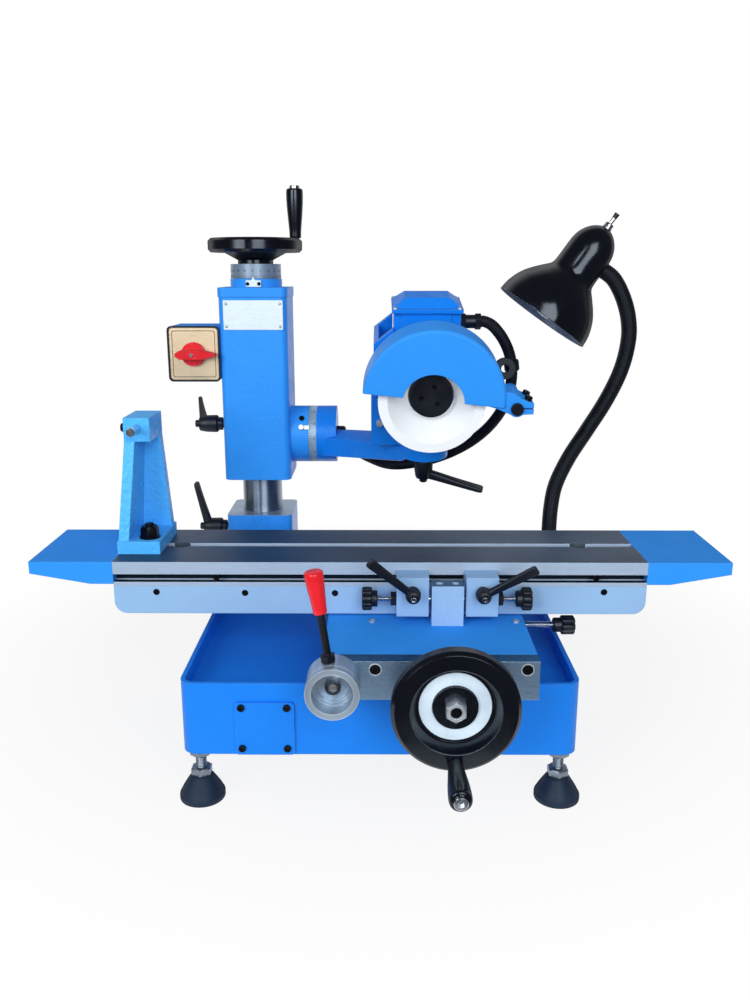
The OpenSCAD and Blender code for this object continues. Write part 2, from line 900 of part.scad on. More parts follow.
module lift_screw() {
  color(STEEL) translate([column_x, column_y, 0]) {
    translate([0, 0, lift_screw_foot])
      cylinder(h = head_top - lift_collar_h - slip - lift_screw_foot, d = lift_screw_d);
    translate([0, 0, head_top - lift_collar_h - slip]) cylinder(h = lift_collar_h, d = lift_collar_d);
    translate([0, 0, head_top - slip])
      cylinder(h = lift_wheel_z + dish_floor + boss_h - head_top + slip, d = wheel_bore_d);
    translate([0, 0, lift_wheel_z + dish_floor + boss_h]) hex_nut(wheel_nut_d, wheel_nut_h);
  }
}

module lift_dial() {
  color(GREY) translate([column_x, column_y, dial_z]) difference() {
    cylinder(h = dial_h - slip, d = dial_d);
    translate([0, 0, -over]) cylinder(h = dial_h + 2 * over, d = wheel_bore_d + 2 * fit);
  }
}

module lift_handwheel() {
  color(BLACK) translate([column_x, column_y, lift_wheel_z]) handwheel();
}

module lift_grip() {
  color(BLACK) translate([column_x, column_y, lift_wheel_z]) handle_grip();
}

module head_lock_lever() {
  color(BLACK) translate([head_left - slip, column_y, head_z + head_lock_rise]) to_left()
    rotate([0, 0, head_lock_swing]) clamp_lever(large_hub_d, large_hub_h, large_arm_l, lock_neck,
      lock_arm_share);
}

// Arm
arm_x = head_right + boss_l + slip;
ring_end = arm_x + ring_l - slip;
arm_end = ring_end + arm_end_l;
pad_z = arm_z + pad_rise - pad_t;

module arm_casting() {
  color(BLUE) leaned() difference() {
    union() {
      translate([head_right + boss_l - spigot_l + slip, column_y, arm_z]) to_right()
        cylinder(h = spigot_l + over, d = spigot_d);
      translate([arm_x, column_y, arm_z]) to_right() cylinder(h = ring_l + over, d = ring_neck_d);
      translate([ring_end, column_y, arm_z]) to_right() cylinder(h = arm_end_l, d = arm_d);
      hull() {
        block([ring_end, column_y - arm_d * web_share, arm_z - arm_d * web_low_share],
          [arm_end - web_in, column_y + arm_d * web_back_share, arm_z + arm_d * web_high_share]);
        translate([pad_x, pad_y, pad_z]) cylinder(h = pad_t, r = pad_r);
      }
    }
    translate([pad_x, pad_y, pad_z - over]) cylinder(h = pad_t + 2 * over, d = pivot_d + 2 * fit);
    translate([pad_x, pad_y, pad_z - arm_d]) cylinder(h = arm_d, r = pad_r + over);
  }
}

module angle_ring() {
  color(STEEL) leaned() translate([arm_x, column_y, arm_z]) to_right() difference() {
    cylinder(h = ring_l - slip, d = arm_d);
    translate([0, 0, -over]) cylinder(h = ring_l + 2 * over, d = ring_neck_d + 2 * fit);
  }
}

module motor_lock_lever() {
  color(BLACK) leaned() translate([pad_x, pad_y, pad_z - slip]) mirror([0, 0, 1])
    rotate([0, 0, motor_lever_turn]) difference() {
    clamp_lever(large_hub_d, large_hub_h, motor_arm_l, 0, lock_arm_share);
    translate([0, 0, -lever_stud_l - over]) cylinder(h = lever_stud_l + over, d = large_hub_d);
    translate([0, 0, -over]) cylinder(h = pivot_l - pad_t + slip + over, d = pivot_d / 2 + 2 * slip);
  }
}

// Motor
motor_rear = motor_front + bell_h + motor_l;
pedestal_z = pad_z + pad_t + slip;
tbox_z = spindle_z + motor_w / 2;
rod_x = spindle_x + rod_dx;
rod_z = spindle_z - rod_drop;

// Arm and wheelhead lean forward about the arm's axis
module leaned() { translate([0, column_y, arm_z]) rotate([arm_lean, 0, 0]) translate([0, -column_y, -arm_z])
  children(); }
function leaned_at(p) = [p[0],
  column_y + (p[1] - column_y) * cos(arm_lean) - (p[2] - arm_z) * sin(arm_lean),
  arm_z + (p[1] - column_y) * sin(arm_lean) + (p[2] - arm_z) * cos(arm_lean)];

module spindle_place() { translate([spindle_x, 0, spindle_z]) children(); }

module motor_body() {
  w = motor_w / 2;
  cut = w * motor_cut_share;
  color(BLUE) leaned() difference() {
    union() {
      translate([spindle_x, motor_front, spindle_z]) to_back() cylinder(h = bell_h + over, d = bell_d);
      translate([spindle_x, motor_rear, spindle_z]) to_front() linear_extrude(motor_l)
        polygon([[cut - w, -w], [w - cut, -w], [w, cut - w], [w, w - cut], [w - cut, w], [cut - w, w],
          [-w, w - cut], [-w, cut - w]]);
      difference() {
        translate([spindle_x, motor_rear, spindle_z]) to_front() linear_extrude(motor_rear - side_from)
          polygon([[-side_w, -side_low], [-side_w, side_high], [-side_in, side_crest], [-side_in, w - cut],
            [-w / 2, w - cut], [-w / 2, -side_low]]);
        block([spindle_x - side_w + side_wall, side_from + side_web, spindle_z],
          [spindle_x - side_in, motor_rear - side_web, spindle_z + side_crest + over]);
      }
      block([spindle_x - foot_left, foot_front, pedestal_z],
        [spindle_x + foot_right, foot_back, pedestal_z + foot_top]);
      for (i = [0 : fin_count - 1])
        translate([spindle_x + w, motor_front + bell_h, spindle_z + (i - (fin_count - 1) / 2) * fin_pitch])
          block([-fin_out, 0, -fin_t / 2], [fin_out, motor_l, fin_t / 2]);
      block([spindle_x, motor_front, rod_z - rod_arm_h / 2],
        [rod_x, motor_front + bell_h, rod_z + rod_arm_h / 2]);
      translate([rod_x, motor_front, rod_z]) to_back() cylinder(h = bell_h, d = lug_d);
      translate([pad_x, pad_y, pedestal_z - pivot_l]) cylinder(h = pivot_l + over, d = pivot_d / 2);
      translate([pad_x, pad_y, pedestal_z - pad_t]) cylinder(h = pad_t + over, d = pivot_d);
    }
    translate([spindle_x, motor_front - over, spindle_z]) to_back()
      cylinder(h = motor_rear - motor_front + 2 * over, d = spindle_d + 2 * shaft_clear);
    for (y = [motor_front, motor_rear - bearing_w])
      translate([spindle_x, y - (y == motor_front ? over : 0), spindle_z]) to_back()
        cylinder(h = bearing_w + over, d = bearing_d + 2 * fit);
    translate([rod_x, motor_front - over, rod_z]) to_back()
      cylinder(h = bell_h + 2 * over, d = rod_d + 2 * fit);
  }
}

module spindle_bearings() {
  color(STEEL) leaned() for (y = [motor_front, motor_rear - bearing_w])
    translate([spindle_x, y, spindle_z]) to_back() difference() {
      cylinder(h = bearing_w, d = bearing_d);
      translate([0, 0, -over]) cylinder(h = bearing_w + 2 * over, d = spindle_d + 2 * fit);
    }
}

module fan_cover() {
  color(BLUE) leaned() translate([spindle_x, motor_rear, spindle_z]) to_back() difference() {
    cylinder(h = fan_l, d = fan_d);
    translate([0, 0, -over]) cylinder(h = fan_l - fan_wall + over, d = fan_d - 2 * fan_wall);
    for (i = [0 : vent_count - 1]) rotate([0, 0, i * 360 / vent_count])
      block([fan_d / 2 * vent_in_share, -vent_w / 2, fan_l - fan_wall - over],
        [fan_d / 2 * vent_out_share, vent_w / 2, fan_l + over]);
  }
}

module terminal_box() {
  z1 = tbox_z + tbox_h;
  w = box_top_w / 2;
  rise = lid_h - lid_flange;
  color(BLUE) leaned() translate([spindle_x + tbox_dx, gland_set - tbox_d / 2, 0]) {
    block([-w + lid_flange / 2, lid_flange, tbox_z], [w - lid_flange / 2, tbox_d - lid_flange, z1 + over]);
    block([-tbox_panel_w / 2, lid_flange - tbox_panel_t, tbox_z], [tbox_panel_w / 2, tbox_d / 2, z1 + over]);
    block([-w, 0, z1], [w, tbox_d, z1 + lid_flange]);
    translate([0, 0, z1 + lid_flange - over]) intersection() {
      translate([0, tbox_d, 0]) to_front() linear_extrude(tbox_d)
        polygon([[-w, 0], [w, 0], [w - lid_slope, rise + over], [lid_slope - w, rise + over]]);
      translate([-w, 0, 0]) rotate([90, 0, 90]) linear_extrude(2 * w)
        polygon([[lid_flange, 0], [tbox_d - lid_flange, 0], [tbox_d - lid_slope, rise + over],
          [lid_slope, rise + over]]);
      translate([0, tbox_d / 2, 0]) rotate([0, 0, 45]) cylinder(h = rise + over,
        d = (box_top_w + tbox_d) * (1 - lid_cut_share / 2), $fn = 4);
    }
  }
}

gland_x = spindle_x + tbox_dx + box_top_w / 2 - lid_flange / 2;
gland_z = tbox_z + gland_rise;
gland_y = gland_set - gland_in;
gland_end = gland_x + 2 * gland_nut_l + gland_l;
cable_y = column_y + arm_d * cable_seat_share;
cable_z = arm_z - arm_d * cable_seat_share;
CABLE_PATH = concat([leaned_at([gland_end, gland_y, gland_z]),
  leaned_at([gland_end + gland_lead, gland_y, gland_z])],
  CABLE_ROUTE,
  [[arm_end + cable_lead, cable_y, cable_z], [arm_end, cable_y, cable_z]]);

module cable_gland() {
  color(BLACK) leaned() translate([gland_x, gland_y, gland_z]) to_right() {
    hex_nut(gland_nut_d, gland_nut_l);
    translate([0, 0, gland_nut_l]) cylinder(h = gland_l, d = gland_d);
    translate([0, 0, gland_nut_l + gland_l]) hex_nut(gland_nut_d, gland_nut_l);
  }
}

module motor_cable() {
  sides = 10;
  rings = 36;
  span = len(CABLE_PATH) - 1;
  points = [for (i = [0 : rings - 1]) each ring_points(CABLE_PATH, i * span / (rings - 1),
    cable_d / 2, sides)];
  color(BLACK) polyhedron(points, concat(tube_faces(rings, sides), end_faces(0, sides, false),
    end_faces((rings - 1) * sides, sides, true)));
}

// Wheel and guard
module spindle_shaft() {
  nose = cup_front + cup_h - cup_base - flange_h + flange_cap;
  color(STEEL) leaned() translate([spindle_x, nose, spindle_z]) to_back()
    cylinder(h = motor_rear + bearing_w - nose, d = spindle_d);
}

module wheel_flange() {
  face = cup_front + cup_h - cup_base;
  color(BLACK) leaned() translate([spindle_x, face, spindle_z]) difference() {
    union() {
      to_front() cylinder(h = flange_h, d1 = flange_d, d2 = flange_d - 2 * flange_dish);
      to_back() cylinder(h = motor_front - slip - face, d = cup_bore);
      translate([0, cup_base, 0]) to_back()
        cylinder(h = motor_front - slip - face - cup_base - over, d = nose_d);
    }
    translate([0, flange_cap - flange_h, 0]) to_back()
      cylinder(h = motor_front - face + flange_h + over, d = spindle_d + 2 * fit);
  }
}

module grinding_wheel() {
  r = cup_d / 2;
  color(WHITE) leaned() translate([spindle_x, cup_front + cup_h, spindle_z]) to_front() rotate_extrude()
    polygon([[cup_bore / 2 + fit, 0], [r - cup_draft, 0], [r, cup_h], [r - cup_wall, cup_h],
      [flange_d / 2 + cup_draft, cup_base], [cup_bore / 2 + fit, cup_base]]);
}

module wheel_guard() {
  r = guard_d / 2;
  deep = guard_back - guard_front;
  lug_back = guard_front + lug_set + lug_l;
  color(BLUE) leaned() difference() {
    union() {
      intersection() {
        translate([spindle_x + guard_dx, guard_back, spindle_z + guard_dz]) to_front() {
          cylinder(h = deep - guard_round, r = r);
          translate([0, 0, deep - guard_round]) cylinder(h = guard_round, r1 = r, r2 = r - guard_round);
        }
        translate([spindle_x, guard_back + over, spindle_z]) to_front() rotate([0, 0, -guard_turn])
          linear_extrude(deep + 2 * over)
            polygon([[-guard_d, guard_edge], [guard_d, guard_edge], [guard_d, guard_d], [-guard_d, guard_d]]);
      }
      translate([spindle_x, lug_back, spindle_z]) to_front() linear_extrude(lug_l)
        polygon(concat([[r * lug_heel_share, lug_d / 2]],
          [for (q = LUG_SHARES) [rod_dx, -rod_drop] + q * lug_d], [[r * lug_heel_share, -rod_drop / 2]]));
      translate([rod_x, lug_back, rod_z]) to_front() cylinder(h = lug_l, d = lug_d);
    }
    translate([spindle_x + guard_dx, guard_front + guard_wall, spindle_z + guard_dz]) to_back()
      cylinder(h = deep - 2 * guard_wall, r = r - guard_wall);
    translate([spindle_x + arch_dx, guard_front - over, spindle_z + arch_dz]) to_back()
      cylinder(h = guard_wall + 2 * over, d = guard_arch_d);
    translate([spindle_x, guard_back - guard_wall - over, spindle_z]) to_back()
      cylinder(h = guard_wall + 2 * over, d = guard_back_d);
    translate([rod_x, lug_back - lug_l - over, rod_z]) to_back()
      cylinder(h = lug_l + 2 * over, d = rod_d + 2 * fit);
    block([rod_x, lug_back - lug_l - over, rod_z - ear_slit / 2],
      [rod_x + ear_l + over, lug_back + over, rod_z + ear_slit / 2]);
  }
}

module guard_rod() {
  color(BLACK) leaned() translate([rod_x, guard_front + lug_set - rod_out, rod_z]) to_back()
    cylinder(h = motor_front + bell_h - guard_front - lug_set + rod_out, d = rod_d);
}

// Saddle and its feeds
module saddle_body() {
  way_y = table_front + way_set;
  color(BLUE) difference() {
    union() {
      block([saddle_left, saddle_front, saddle_z], [saddle_right, saddle_back, saddle_top]);
      translate([saddle_left, way_y, saddle_top]) rotate([90, 0, 90]) linear_extrude(saddle_w)
        dovetail(way_foot_w, way_flare, way_rise + apron_gap - slip, 0);
    }
    translate([dove_left, saddle_back + over, saddle_z - slip]) to_front()
      linear_extrude(saddle_d + 2 * over) dovetail(dove_foot_w, dove_flare, dove_h + slip, slip);
    block([cross_x - channel_w / 2, saddle_front + channel_from, saddle_z - over],
      [cross_x + channel_w / 2, saddle_back + over, saddle_z + channel_h]);
    translate([cross_x, saddle_front - over, cross_z]) to_back()
      cylinder(h = channel_from + 2 * over, d = cross_screw_d + 2 * fit);
    translate([traverse_x, saddle_front - over, traverse_z]) to_back()
      cylinder(h = pinion_y + pinion_w + shaft_tail - saddle_front + over + slip,
        d = traverse_shaft_d + 2 * fit);
    block([saddle_left - over, pinion_y - 2 * slip, saddle_z - over],
      [traverse_x + pinion_teeth * gear_m / 2 + addendum + pinion_gap, pinion_y + pinion_w + 2 * slip,
        saddle_top + over]);
    translate([saddle_right - lock_grip, table_front + lock_set, saddle_z + lock_rise]) to_right()
      cylinder(h = lock_grip + over, d = lock_rod_d + 2 * fit);
  }
}

module front_block() {
  color(STEEL) difference() {
    block([saddle_left, block_front, saddle_z], [saddle_right, saddle_front, saddle_top]);
    translate([cross_x, block_front - over, cross_z]) to_back()
      cylinder(h = block_t + 2 * over, d = cross_screw_d + 2 * fit);
    translate([traverse_x, block_front - over, traverse_z]) to_back()
      cylinder(h = block_t + 2 * over, d = traverse_shaft_d + 2 * fit);
  }
}

module centre_stop() {
  back = table_front - stop_set;
  color(GREY) difference() {
    block([stop_x - stop_w / 2, back - stop_d, saddle_top],
      [stop_x + stop_w / 2, back, saddle_top + stop_h]);
    for (s = [-1, 1])
      translate([stop_x + s * stop_w / 4, back - stop_d / 2, saddle_top + stop_h - stop_hole_depth])
        cylinder(h = stop_hole_depth + over, d = stop_hole_d);
  }
}

module saddle_lock() {
  color(BLACK) translate([saddle_right, table_front + lock_set, saddle_z + lock_rise]) to_right() {
    translate([0, 0, -lock_grip + slip]) cylinder(h = lock_rod_l + lock_grip, d = lock_rod_d);
    translate([0, 0, lock_rod_l]) lobed_knob(lock_knob_d, lock_knob_l);
  }
}

module cross_screw() {
  color(STEEL) translate([cross_x, 0, cross_z]) {
    translate([0, block_front - slip, 0]) to_back()
      cylinder(h = saddle_back - screw_tail - block_front + slip, d = cross_screw_d);
    translate([0, cross_wheel_y, 0]) to_back() cylinder(h = wheel_standoff - slip, d = collar_d);
    translate([0, cross_wheel_y, 0]) to_front() cylinder(h = dish_floor + boss_h, d = wheel_bore_d);
    translate([0, cross_wheel_y - dish_floor - boss_h, 0]) to_front() hex_nut(wheel_nut_d, wheel_nut_h);
  }
}

module cross_wheel_place() { translate([cross_x, cross_wheel_y, cross_z]) to_front()
  rotate([0, 0, -90]) children(); }

module cross_handwheel() {
  color(BLACK) cross_wheel_place() handwheel();
}

module cross_grip() {
  color(BLACK) cross_wheel_place() handle_grip();
}

module traverse_shaft() {
  hub_back = block_front - slip;
  color(STEEL) translate([traverse_x, 0, traverse_z]) {
    translate([0, hub_back - cup_floor, 0]) to_back()
      cylinder(h = pinion_y + pinion_w + shaft_tail - hub_back + cup_floor, d = traverse_shaft_d);
    translate([0, pinion_y + pinion_w, 0]) to_front() linear_extrude(pinion_w)
      polygon(gear_points(pinion_teeth));
    translate([0, hub_back - cup_floor, 0]) to_front() cylinder(h = hub_screw_h, d = hub_screw_d);
  }
}

module traverse_hub() {
  color(STEEL) translate([traverse_x, block_front - slip, traverse_z]) difference() {
    to_front() cylinder(h = cup_hub_l, d = cup_hub_d);
    translate([0, -cup_floor - cup_seat, 0]) to_front() cylinder(h = cup_hub_l, d = cup_bore_d);
    translate([0, -cup_floor, 0]) to_front() cylinder(h = cup_hub_l, d = cup_seat_d);
    translate([0, over, 0]) to_front() cylinder(h = cup_hub_l, d = traverse_shaft_d + 2 * fit);
    translate([0, -cup_hub_l / 2, 0]) rotate([0, lever_lean, 0])
      cylinder(h = cup_hub_d, d = lever_rod_d + 2 * fit);
  }
}

module traverse_lever() {
  color(RED) translate([traverse_x, block_front - slip - cup_hub_l / 2, traverse_z])
    rotate([0, lever_lean, 0]) {
    translate([0, 0, lever_root]) cylinder(h = lever_grip_from - lever_root, d = lever_rod_d);
    translate([0, 0, cup_hub_d / 2]) hex_nut(lever_nut_d, lever_nut_h);
    translate([0, 0, lever_grip_from]) rotate_extrude()
      polygon([[0, 0], [lever_grip_foot_d / 2, 0],
        [lever_grip_top_d / 2, (lever_l - lever_grip_from) * lever_grip_belly_share],
        [lever_grip_top_d / 2 - grip_round / 2, lever_l - lever_grip_from - grip_round],
        [lever_grip_top_d / 2 - 2 * grip_round, lever_l - lever_grip_from],
          [0, lever_l - lever_grip_from]]);
  }
}

// Table and what rides on it
module table_plate() {
  slot_y = table_front + slot_set;
  half = table_l / 2;
  color(STEEL) difference() {
    block([-half, table_front, plate_z], [half, table_back, table_z]);
    block([-half - over, slot_y - slot_w / 2, table_z - slot_depth],
      [half + over, slot_y + slot_w / 2, table_z + over]);
    block([-half - over, slot_y - slot_head_w / 2, table_z - slot_depth - slot_head_h],
      [half + over, slot_y + slot_head_w / 2, table_z - slot_depth]);
    for (s = [-1, 1]) translate([s * entry_x, slot_y, table_z - slot_depth - slot_head_h])
      cylinder(h = plate_t, d = entry_d);
    block([-half - over, table_front - over, table_z - front_lip - front_slot],
      [half + over, table_front + front_slot_depth, table_z - front_lip]);
    block([-half - over, table_front + front_slot_depth,
      table_z - front_lip - front_slot / 2 - front_t_head / 2],
      [half + over, table_front + front_slot_depth + front_t_depth,
        table_z - front_lip - front_slot / 2 + front_t_head / 2]);
  }
}

module table_apron() {
  half = table_l / 2;
  way_y = table_front + way_set;
  color(GREY) difference() {
    union() {
      block([-half, table_front, apron_z + apron_round], [half, table_back, plate_z]);
      block([-half + apron_round, table_front, apron_z],
        [half - apron_round, table_back, apron_z + apron_round]);
      for (s = [-1, 1]) translate([s * (half - apron_round), table_front, apron_z + apron_round]) to_back()
        cylinder(h = table_d, r = apron_round);
    }
    translate([-half - over, way_y, saddle_top]) rotate([90, 0, 90]) linear_extrude(table_l + 2 * over)
      dovetail(way_foot_w, way_flare, way_rise + apron_gap - slip, slip);
    block([-half - over, pinion_y - rack_room, apron_z - over],
      [half + over, pinion_y + pinion_w + rack_room, apron_z + way_rise]);
  }
}

module end_covers() {
  color(BLUE) for (s = [0, 1]) mirror([s, 0, 0]) translate([table_l / 2, table_back, table_z]) to_front()
    linear_extrude(table_d)
      polygon([[0, 0], [cover_l, 0], [cover_l, -cover_tip_h], [cover_foot_l, -cover_foot_h],
        [0, -cover_foot_h]]);
}

module traverse_rack() {
  pitch = PI * gear_m;
  teeth = floor(rack_l / pitch / 2);
  top = apron_z + way_rise - rack_pitch_z;
  flanks = [for (i = [-teeth : teeth], k = [[-tooth_root_share, dedendum], [-tooth_tip_share, -addendum],
    [tooth_tip_share, -addendum], [tooth_root_share, dedendum]]) [(i + 0.5 + k[0]) * pitch, k[1]]];
  shift = round((rack_x - traverse_x) / pitch) * pitch;
  color(STEEL) translate([traverse_x + shift, pinion_y + (pinion_w + rack_w) / 2, rack_pitch_z]) to_front()
    linear_extrude(rack_w)
      polygon(concat(flanks, [[(teeth + 1) * pitch, dedendum], [(teeth + 1) * pitch, top],
        [-teeth * pitch, top], [-teeth * pitch, dedendum]]));
}

// A dog's middle, for the left one with s = -1 and the right one with s = 1
function dog_x(s) = stop_x + s * (stop_w / 2 + dog_gap + dog_w / 2);

module dog(s) {
  groove_z = table_z - front_lip - front_slot / 2;
  color(GREY) difference() {
    union() {
      block([dog_x(s) - dog_w / 2, table_front - slip - dog_d, table_z - dog_drop - dog_h],
        [dog_x(s) + dog_w / 2, table_front - slip, table_z - dog_drop]);
      block([dog_x(s) - dog_w / 2, table_front - over, groove_z - front_slot / 2 + slip],
        [dog_x(s) + dog_w / 2, table_front + front_slot_depth + slip, groove_z + front_slot / 2 - slip]);
      block([dog_x(s) - dog_w / 2, table_front + front_slot_depth + slip,
        groove_z - front_t_head / 2 + slip],
        [dog_x(s) + dog_w / 2, table_front + front_slot_depth + front_t_depth - slip,
          groove_z + front_t_head / 2 - slip]);
    }
    translate([dog_x(s), table_front - slip - dog_d - over, table_z - dog_lever_drop]) to_back()
      cylinder(h = lever_stud_l + over + slip, d = lever_stud_d + 2 * fit);
    translate([dog_x(s) - dog_w / 2 - over, table_front - dog_screw_set, table_z - dog_screw_drop])
      to_right()
      cylinder(h = dog_w + 2 * over, d = dog_screw_d + 2 * fit);
  }
}

module dog_lever(s, turn) {
  color(BLACK) translate([dog_x(s), table_front - 2 * slip - dog_d, table_z - dog_lever_drop]) to_front()
    rotate([0, 0, turn]) clamp_lever(small_hub_d, small_hub_h, small_arm_l);
}

// Stop screw of a dog, its tip a hair from the centre stop
module dog_screw(s) {
  tip = dog_gap - slip;
  color(BLACK) translate([dog_x(s), table_front - dog_screw_set, table_z - dog_screw_drop])
    mirror([s > 0 ? 1 : 0, 0, 0])
    translate([dog_w / 2 + tip, 0, 0]) to_left() {
      cylinder(h = dog_w + tip + dog_screw_out, d = dog_screw_d);
      translate([0, 0, dog_w + tip + slip]) hex_nut(dog_nut_d, dog_nut_l);
      translate([0, 0, dog_w + tip + dog_screw_out - dog_knob_l]) lobed_knob(dog_knob_d, dog_knob_l);
    }
}

module left_dog() { dog(-1); }
module right_dog() { dog(1); }
module left_dog_lever() { dog_lever(-1, left_lever_turn); }
module right_dog_lever() { dog_lever(1, right_lever_turn); }
module left_dog_screw() { dog_screw(-1); }
module right_dog_screw() { dog_screw(1); }

tail_front = table_front + tail_set;
tail_back = tail_front + tail_foot_d;
tail_block_front = tail_front + tail_block_set;
tail_z = table_z + slip;

module tailstock() {
  w = tail_foot_w / 2;
  b = tail_block_w / 2;
  h = tail_h - tail_block_h;
  slot_y = table_front + slot_set;
  color(BLUE) difference() {
    translate([tail_x, 0, tail_z]) {
      block([-w, tail_front, 0], [w, tail_back, tail_foot_h]);
      block([-b, tail_block_front, h], [b, tail_block_front + tail_block_d, tail_h]);
      translate([0, tail_block_front + tail_block_d, 0]) to_front() linear_extrude(tail_wall)
        polygon([[-w, 0], [w, 0], [b, h], [b, tail_h], [-b, tail_h], [-b, h]]);
      intersection() {
        translate([0, tail_back, 0]) to_front() linear_extrude(tail_foot_d)
          polygon([[-w, 0], [tail_wall - w, 0], [tail_wall - b, h], [-b, h]]);
        translate([-w, 0, 0]) rotate([90, 0, 90]) linear_extrude(2 * w)
          polygon([[tail_front, 0], [tail_back, 0], [tail_block_front + tail_block_d, h],
            [tail_block_front, h]]);
      }
      block([-tail_key_l / 2, slot_y - slot_w / 2 + slip, -tail_key_h],
        [tail_key_l / 2, slot_y + slot_w / 2 - slip, 0]);
    }
    translate([tail_x, tail_block_front - over, tail_z + tail_h - tail_pin_drop]) to_back()
      cylinder(h = tail_block_d / 2 + over, d = pin_d * pin_shank_share + 2 * fit);
  }
}

module centre_pin() {
  color(STEEL) translate([tail_x, tail_block_front - pin_out, tail_z + tail_h - tail_pin_drop]) to_back() {
    cylinder(h = pin_out - pin_relief, d = pin_d);
    cylinder(h = pin_out + tail_block_d / 2, d = pin_d * pin_shank_share);
  }
}

base_pan();
base_cover();
foot_pads();
foot_studs();
cross_bed();
cross_nut();
column_socket();
column_lock_lever();
lamp_bracket();
gooseneck();
lamp_shade();
lamp_bulb();
lamp_switch();
column_post();
lift_nut();
head_casting();
head_cap();
switch_box();
switch_knob();
lift_screw();
lift_dial();
lift_handwheel();
lift_grip();
head_lock_lever();
arm_casting();
angle_ring();
motor_body();
fan_cover();
terminal_box();
cable_gland();
motor_cable();
guard_rod();
spindle_bearings();
spindle_shaft();
wheel_flange();
grinding_wheel();
wheel_guard();
motor_lock_lever();
saddle_body();
front_block();
centre_stop();
saddle_lock();
cross_screw();
cross_handwheel();
cross_grip();
traverse_shaft();
traverse_hub();
traverse_lever();
table_plate();
table_apron();
end_covers();
traverse_rack();
left_dog();
right_dog();
left_dog_lever();
right_dog_lever();
left_dog_screw();
right_dog_screw();
tailstock();
centre_pin();
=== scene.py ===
"""Dressed bench tool and cutter grinder: finishes, small fittings, lamp hose, motor cable, light and camera."""

import math

import bmesh
import bpy
from mathutils import Matrix, Vector


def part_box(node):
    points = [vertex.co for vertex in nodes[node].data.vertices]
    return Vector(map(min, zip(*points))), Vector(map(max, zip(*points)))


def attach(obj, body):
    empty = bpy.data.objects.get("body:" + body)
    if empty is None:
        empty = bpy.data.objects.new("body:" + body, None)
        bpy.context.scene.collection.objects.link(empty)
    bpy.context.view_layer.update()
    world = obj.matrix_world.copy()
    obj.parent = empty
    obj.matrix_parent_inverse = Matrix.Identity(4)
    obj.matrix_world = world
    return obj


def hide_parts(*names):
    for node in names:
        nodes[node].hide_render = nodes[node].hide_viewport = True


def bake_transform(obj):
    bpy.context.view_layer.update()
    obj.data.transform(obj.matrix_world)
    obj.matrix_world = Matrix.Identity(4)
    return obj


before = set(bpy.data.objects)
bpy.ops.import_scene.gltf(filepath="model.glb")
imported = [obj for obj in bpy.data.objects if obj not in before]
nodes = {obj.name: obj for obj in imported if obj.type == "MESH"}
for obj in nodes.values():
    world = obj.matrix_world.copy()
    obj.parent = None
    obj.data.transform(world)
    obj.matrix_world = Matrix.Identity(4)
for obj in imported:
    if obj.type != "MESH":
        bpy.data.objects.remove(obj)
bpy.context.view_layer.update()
scene = bpy.context.scene
MM = 0.001
FRONT, BACK, LEFT, RIGHT, UP, DOWN = (0, -1, 0), (0, 1, 0), (-1, 0, 0), (1, 0, 0), (0, 0, 1), (0, 0, -1)


def put(name, data):
    """A new object in the scene."""
    thing = bpy.data.objects.new(name, data)
    scene.collection.objects.link(thing)
    return thing


# Camera at the photograph's viewing angle, in degrees

CAMERA_DOWN, CAMERA_TURN = 14.29, 0.34
camera_data = bpy.data.cameras.new("camera")
camera_data.lens, camera_data.sensor_width, camera_data.clip_end = 32.14, 36.0, 50.0
camera = put("camera", camera_data)
camera.location = (0.0003, -1.0876, 0.5659)
camera.rotation_euler = (math.radians(90 - CAMERA_DOWN), 0.0, math.radians(CAMERA_TURN))
scene.camera = camera


# Finishes

def shade(colour, by):
    return tuple(min(1.0, c * by) for c in colour)


class Nodes:
    """Shader nodes added to a tree. A value is a number, a colour, a vector or another node's socket."""

    def __init__(self, tree):
        self.tree = tree
        tree.nodes.clear()

    def add(self, kind, inputs=None, **props):
        """A node with its properties set and its inputs fed, by name or number."""
        node = self.tree.nodes.new(kind)
        for key, value in props.items():
            setattr(node, key, value)
        for socket, value in (inputs or {}).items():
            self.feed(node.inputs[socket], value)
        return node

    def feed(self, socket, value):
        if isinstance(value, bpy.types.NodeSocket):
            self.tree.links.new(value, socket)
        elif hasattr(value, "__len__") and len(value) == 3 and len(socket.default_value) == 4:
            socket.default_value = (*value, 1.0)
        else:
            socket.default_value = value

    def span(self, value, low, high, to_low=0.0, to_high=1.0):
        """A value carried from one range to another and held at its ends."""
        inputs = {"Value": value, "From Min": low, "From Max": high, "To Min": to_low, "To Max": to_high}
        return self.add("ShaderNodeMapRange", inputs).outputs["Result"]

    def step(self, value, edge, soft=0.0002):
        """0 below the edge and 1 above it, or the other way round where soft is negative."""
        return self.span(value, edge - soft, edge + soft)

    def calc(self, operation, first, second=0.0):
        return self.add("ShaderNodeMath", {0: first, 1: second}, operation=operation).outputs[0]

    def vector(self, operation, first, second=(0, 0, 0)):
        node = self.add("ShaderNodeVectorMath", {0: first, 1: second}, operation=operation)
        return node.outputs["Value" if operation in ("LENGTH", "DOT_PRODUCT") else "Vector"]

    def direct_rays(self, paths):
        """1 for rays from the camera, off gloss or through glass, which see the plain background."""
        bent = self.calc("MAXIMUM", paths["Is Glossy Ray"], paths["Is Transmission Ray"])
        return self.calc("MAXIMUM", paths["Is Camera Ray"], bent)


